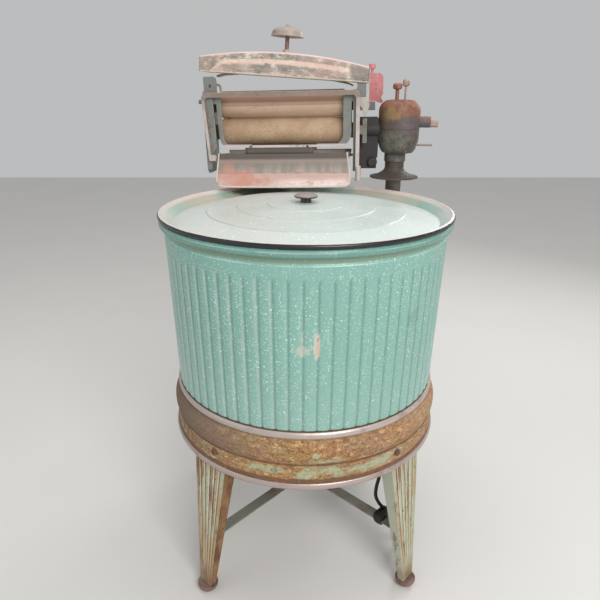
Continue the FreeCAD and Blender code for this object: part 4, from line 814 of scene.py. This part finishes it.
def tub_outline():
    """(radius, height, share of the flutes' depth) up the outside, over the rim and down the inside."""
    outline = [(0.2765, 0.4465, 0), (0.2795, 0.4468, 0.2), (0.2822, 0.4480, 0.6), (0.2838, 0.4500, 1)]
    foot, top = (0.2840, 0.4520), (0.2924, 0.7420)
    for step in range(7):
        share = step / 6
        outline.append((foot[0] + (top[0] - foot[0]) * share, foot[1] + (top[1] - foot[1]) * share, 1))
    outline += [(0.2925, 0.7445, 0.8), (0.2926, 0.7470, 0.45), (0.2927, 0.7495, 0.12), (0.2928, 0.7520, 0)]
    outline += [(r, z, 0) for r, z in (
        (0.2930, 0.7600), (0.2932, 0.7690), (0.2930, 0.7712), (0.2918, 0.7730), (0.2902, 0.7750),
        (0.2900, 0.7780), (0.2902, 0.7820), (0.2920, 0.7848), (0.2955, 0.7866), (0.2995, 0.7872),
        (0.3020, 0.7882), (0.3034, 0.7910), (0.3036, 0.7940), (0.3034, 0.7975), (0.3024, 0.8000),
        (0.3005, 0.8014), (0.2975, 0.8019), (0.2945, 0.8012), (0.2922, 0.7990), (0.2912, 0.7950),
        (0.2910, 0.7820), (0.2885, 0.7520), (0.2790, 0.4550), (0.2730, 0.4492), (0.0220, 0.4490))]
    return outline


def make_tub():
    columns = FLUTES * COLUMNS_PER_FLUTE
    outline = tub_outline()
    vertices = []
    for radius, height, share in outline:
        for column in range(columns):
            across = 2 * (column % COLUMNS_PER_FLUTE) / COLUMNS_PER_FLUTE - 1
            groove = 0.55 * across ** 2 + 0.45 * across ** 6
            reach = radius - FLUTE_DEPTH * share * groove
            angle = FLUTE_START + 2 * math.pi * column / columns
            vertices.append((reach * math.cos(angle), reach * math.sin(angle), height))
    faces = grid_faces(len(outline), columns, wrap=True)
    piece("tub_fluted", vertices, faces, "tub", "base", hides=["tub"], sharp=60)


make_tub()

# ---------------------------------------------------------------- wringer's cover and drainboard

COVER_CORNER, TOP_SWELL, COVER_SHEET = 0.007, 0.0008, 0.0018
SCREW_ACROSS = 0.008
PANEL_STANDS_OUT = 0.0050


def cover_top(across):
    off = across - COVER_MIDDLE
    return COVER_CROWN - COVER_SWEEP + math.sqrt(COVER_SWEEP ** 2 - off * off)


def panel_swell(across, height):
    """How far the pressed panel stands out of the cover's front: a ridge at its top, slanted ends."""
    ridge = RIDGE_TOP - RIDGE_ARCH * (COVER_CROWN - cover_top(across))
    down = smooth(height, ridge + 0.003, ridge - 0.006)
    slant = (height - COVER_LOW) / 0.030
    left, right = -0.163 + 0.036 * slant, 0.172 - 0.016 * slant
    inside = smooth(across, left - 0.003, left + 0.006) * smooth(across, right + 0.003, right - 0.005)
    return PANEL_STANDS_OUT * down * inside


def cover_section(across):
    """(y, z) round the cover at a distance along it: up the front, over the top and down the back."""
    up_steps, over_steps = 14, 12
    top = cover_top(across)
    front = []
    for level in range(up_steps + 1):
        height = COVER_LOW + (top - COVER_CORNER - COVER_LOW) * level / up_steps
        front.append((-COVER_HALF - panel_swell(across, height), height))
    for turn in (22.5, 45, 67.5):
        angle = math.radians(turn)
        front.append((-COVER_HALF + COVER_CORNER * (1 - math.cos(angle)),
                      top - COVER_CORNER * (1 - math.sin(angle))))
    flat = COVER_HALF - COVER_CORNER
    over = [(-flat + 2 * flat * part / over_steps, top + TOP_SWELL * math.sin(math.pi * part / over_steps))
            for part in range(over_steps + 1)]
    back = [(min(-y, COVER_HALF), z) for y, z in front[::-1]]
    return front + over + back


def cover_ends(rows):
    """Faces that close both ends, each a ladder of rungs between the front and the back."""
    columns = len(rows[0])
    faces = []
    for row, turned in ((0, False), (len(rows) - 1, True)):
        base = row * columns
        for low in range(columns // 2):
            high = columns - 1 - low
            if high - low < 2:
                break
            corners = [base + low, base + high, base + high - 1, base + low + 1]
            corners = corners if high - 1 != low + 1 else corners[:3]
            faces.append(corners[::-1] if turned else corners)
    return faces


def make_cover():
    steps = 110
    rows = []
    for step in range(steps + 1):
        across = COVER_LEFT + (COVER_RIGHT - COVER_LEFT) * step / steps
        rows.append([(across, y, z) for y, z in cover_section(across)])
    vertices = [point for row in rows for point in row]
    faces = grid_faces(len(rows), len(rows[0]), flip=True) + cover_ends(rows)
    cover = piece("cover_pressing", vertices, faces, "cover", "top_cover", COVER,
                  hides=["top_cover"], sharp=50)
    bevel = cover.modifiers.new("rounded_ends", "BEVEL")
    bevel.width, bevel.segments, bevel.angle_limit = 0.003, 3, math.radians(60)
    thicken(cover, COVER_SHEET, -1)


def make_cover_nut():
    """The six-sided nut that the pressure screw runs in, with a round foot and a round collar."""
    ring, sixth = 24, math.pi / 3
    crown = cover_top(SCREW_ACROSS)
    profile = [(0.0055, 0.0030), (0.0055, 0.0090), (0.0085, 0.0090), (0.0098, 0.0075), (0.0105, 0.0020),
               (0.0125, -0.0040)]
    vertices = []
    for radius, height in profile:
        six_sided = 0.006 < radius < 0.011
        for index in range(ring):
            angle = 2 * math.pi * index / ring
            flat = math.cos(sixth / 2) / math.cos((angle + sixth / 2) % sixth - sixth / 2)
            reach = radius * (flat if six_sided else 1)
            vertices.append((SCREW_ACROSS + reach * math.cos(angle), reach * math.sin(angle), crown + height))
    piece("cover_nut", vertices, grid_faces(len(profile), ring, wrap=True, flip=True), "nut", "top_cover",
          COVER)


make_cover()
make_cover_nut()

# How the drainboard runs down and forward: (y, z) from its top edge to its lip.
BOARD_RUN = [(-0.0446, -0.0815), (-0.0447, -0.0850), (-0.0480, -0.0895), (-0.0525, -0.0950),
             (-0.0610, -0.1036), (-0.0700, -0.1128), (-0.0790, -0.1220), (-0.0875, -0.1299),
             (-0.0960, -0.1378), (-0.1040, -0.1452), (-0.1085, -0.1493), (-0.1110, -0.1517),
             (-0.1124, -0.1531)]
BOARD_REACH = (0.0450, 0.1125)
BOARD_TOP_SIDES, BOARD_LIP_SIDES = (-0.1590, 0.1610), (-0.1545, 0.1725)
BOARD_CORNER = 0.0170
BOARD_SHEET, TAB_SHEET, RIM_RADIUS = 0.0016, 0.0012, 0.0023


def board_edges(depth):
    """The left and right edge of the drainboard at a distance in front, its low corners rounded."""
    share = (-depth - BOARD_REACH[0]) / (BOARD_REACH[1] - BOARD_REACH[0])
    left, right = (top + (lip - top) * share for top, lip in zip(BOARD_TOP_SIDES, BOARD_LIP_SIDES))
    into = max(0, (-depth - BOARD_REACH[1] + BOARD_CORNER) / BOARD_CORNER)
    inset = BOARD_CORNER * (1 - math.sqrt(max(0, 1 - min(into, 1) ** 2)))
    return left + inset, right - inset


def make_drainboard():
    """The tray, its side edges turned up and its front sagging a little, with a rolled rim on three sides."""
    steps, turned_up, sag_at_lip = 60, 0.0016, 0.0012
    vertices, left_edge, right_edge = [], [], []
    for depth, height in BOARD_RUN:
        left, right = board_edges(depth)
        for step in range(steps + 1):
            share = step / steps
            across = left + (right - left) * share
            lift = turned_up * smooth(min(across - left, right - across), 0.010, 0.0)
            sag = sag_at_lip * math.sin(math.pi * share) * smooth(height, -0.09, -0.12)
            vertices.append((across, depth + sag - lift, height - sag + lift * 0.6))
        left_edge.append(vertices[-steps - 1])
        right_edge.append(vertices[-1])
    board = piece("drainboard_tray", vertices, grid_faces(len(BOARD_RUN), steps + 1), "board", "wringer",
                  WRINGER, hides=["drainboard_front"], sharp=50)
    thicken(board, BOARD_SHEET, 0)
    lip = vertices[-steps - 1:]
    path = left_edge[:-1] + lip[::6] + right_edge[-2::-1]
    round_tube("drainboard_rolled_rim", path, RIM_RADIUS, "rim", "wringer", WRINGER)


def make_drainboard_tab():
    """The flat tab by which the tray hangs on the frame."""
    columns, start, spacing = 21, -0.091, 0.0085
    levels = (-0.0640, -0.0710, -0.0775, -0.0830)
    vertices = [(start + spacing * step, BOARD_RUN[0][0], z) for z in levels for step in range(columns)]
    tab = piece("drainboard_tab", vertices, grid_faces(len(levels), columns), "board", "wringer",
                WRINGER)
    thicken(tab, TAB_SHEET)


make_drainboard()
make_drainboard_tab()

# ---------------------------------------------------------------- mains cord

CORD_DIAMETER = 0.008
CORD_ROUTE = [
    (0.163, -0.150, 0.262), (0.163, -0.150, 0.238), (0.157, -0.151, 0.212), (0.155, -0.154, 0.186),
    (0.166, -0.155, 0.164), (0.182, -0.153, 0.146), (0.196, -0.150, 0.126), (0.205, -0.146, 0.100),
    (0.211, -0.140, 0.073), (0.218, -0.129, 0.046), (0.226, -0.112, 0.024), (0.237, -0.084, 0.009),
    (0.247, -0.048, 0.0046), (0.256, 0.000, 0.0046), (0.263, 0.050, 0.0046), (0.269, 0.100, 0.0046),
    (0.273, 0.150, 0.0046), (0.273, 0.200, 0.0046), (0.265, 0.246, 0.0046), (0.244, 0.282, 0.0046),
    (0.211, 0.306, 0.0046), (0.172, 0.318, 0.0046), (0.142, 0.3215, 0.0046),
]
COIL_MIDDLE = (0.096, 0.276)
COIL_TURN_POINTS = 16
# Each turn of the coil: the radius of its middle line and its height; a layer of three under two.
COIL_TURNS = [(0.0515, 0.0045), (0.0435, 0.0045), (0.0355, 0.0045), (0.0395, 0.0115), (0.0475, 0.0115)]
PLUG_LEAD = [
    (0.0790, 0.3190, 0.0117), (0.0620, 0.3110, 0.0122), (0.0480, 0.3045, 0.0138), (0.0380, 0.3007, 0.0148),
    (0.0310, 0.2982, 0.0150),
]


def coil_points():
    """The coil's turns, inwards on the floor, then outwards on top, each passing into the next."""
    first, last = math.radians(68), math.radians(112)
    outward = 1.012  # the smooth curve runs a little inside its points
    last_turn = len(COIL_TURNS) - 1
    past_end = round((last - first) / (2 * math.pi) * COIL_TURN_POINTS)
    points = []
    for index in range(len(COIL_TURNS) * COIL_TURN_POINTS + past_end):
        turn, part = divmod(index, COIL_TURN_POINTS)
        if turn > last_turn:
            turn, part = last_turn, COIL_TURN_POINTS
        (radius, height), (next_radius, next_height) = COIL_TURNS[turn], COIL_TURNS[min(turn + 1, last_turn)]
        over = smooth(part / COIL_TURN_POINTS, 0.5, 1.0)
        reach = outward * (radius + (next_radius - radius) * over)
        angle = first + 2 * math.pi * index / COIL_TURN_POINTS
        points.append((COIL_MIDDLE[0] + reach * math.cos(angle), COIL_MIDDLE[1] + reach * math.sin(angle),
                       height + (next_height - height) * over))
    return points


cord = round_tube("mains_cord", CORD_ROUTE + coil_points() + PLUG_LEAD, CORD_DIAMETER / 2, "cord", "base")
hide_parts("power_cord", "cord_coil")


TIE_COLUMNS, TIE_SHEET = (-0.003, -0.001, 0.001, 0.003), 0.0003


def make_tie():
    """A flat strap round the coil's turns, its loop a rectangle with rounded corners."""
    inner, outer, low, high, corner_radius = 0.0305, 0.0562, 0.0003, 0.0158, 0.0035
    near, far = -inner - corner_radius, -outer + corner_radius
    bottom, top = low + corner_radius, high - corner_radius
    loop = []
    for corner, (y, z) in enumerate(((near, bottom), (near, top), (far, top), (far, bottom))):
        for turn in range(5):
            angle = math.radians(-90 + 90 * corner + 22.5 * turn)
            loop.append((y + corner_radius * math.cos(angle), z + corner_radius * math.sin(angle)))
    vertices = [(x, y, z) for x in TIE_COLUMNS for y, z in loop]
    faces = grid_faces(len(TIE_COLUMNS), len(loop), wrap=True)
    strap = piece("coil_tie", vertices, faces, "tie", "base",
                  Matrix.Translation((*COIL_MIDDLE, 0)))
    thicken(strap, TIE_SHEET, 0)
    return strap


make_tie()

# ---------------------------------------------------------------- stage

FLOOR_REACH = 6

corners = [(-FLOOR_REACH, -FLOOR_REACH, 0), (FLOOR_REACH, -FLOOR_REACH, 0),
           (FLOOR_REACH, FLOOR_REACH, 0), (-FLOOR_REACH, FLOOR_REACH, 0)]
floor_mesh = bpy.data.meshes.new("floor")
floor_mesh.from_pydata(corners, [], [(0, 1, 2, 3)])
floor = bpy.data.objects.new("floor", floor_mesh)
scene.collection.objects.link(floor)
floor_paint = Paint("floor_pale")
floor_paint.color = floor_paint.mix(floor_paint.noise(2), "d9d7d3", "e0deda")
floor_mesh.materials.append(floor_paint.finish(0.85))


def lamp(name, place, aim_height, size, power, tint=(1, 1, 1)):
    """A square soft light, turned to a point on the tub's axis."""
    data = bpy.data.lights.new(name, "AREA")
    data.shape = "SQUARE"
    data.size = size
    data.energy = power
    data.color = tint
    light = bpy.data.objects.new(name, data)
    light.location = place
    toward = Vector((0, 0, aim_height)) - Vector(place)
    light.rotation_euler = toward.to_track_quat("-Z", "Y").to_euler()
    scene.collection.objects.link(light)


lamp("key", (0.9, -2.4, 2.2), 0.6, 1.4, 55, (1, 0.97, 0.95))
lamp("fill", (-2.2, -1.2, 1.5), 0.6, 1.8, 6, (0.97, 0.98, 1))
lamp("top", (0.2, 0.4, 2.8), 0.8, 2.0, 17)
lamp("rim", (1.6, 1.6, 1.8), 0.9, 1.0, 14)
scene.world = bpy.data.worlds.new("studio")
scene.world.use_nodes = True
backdrop = scene.world.node_tree.nodes["Background"]
backdrop.inputs["Color"].default_value = (0.93, 0.94, 0.95, 1)
backdrop.inputs["Strength"].default_value = 0.54
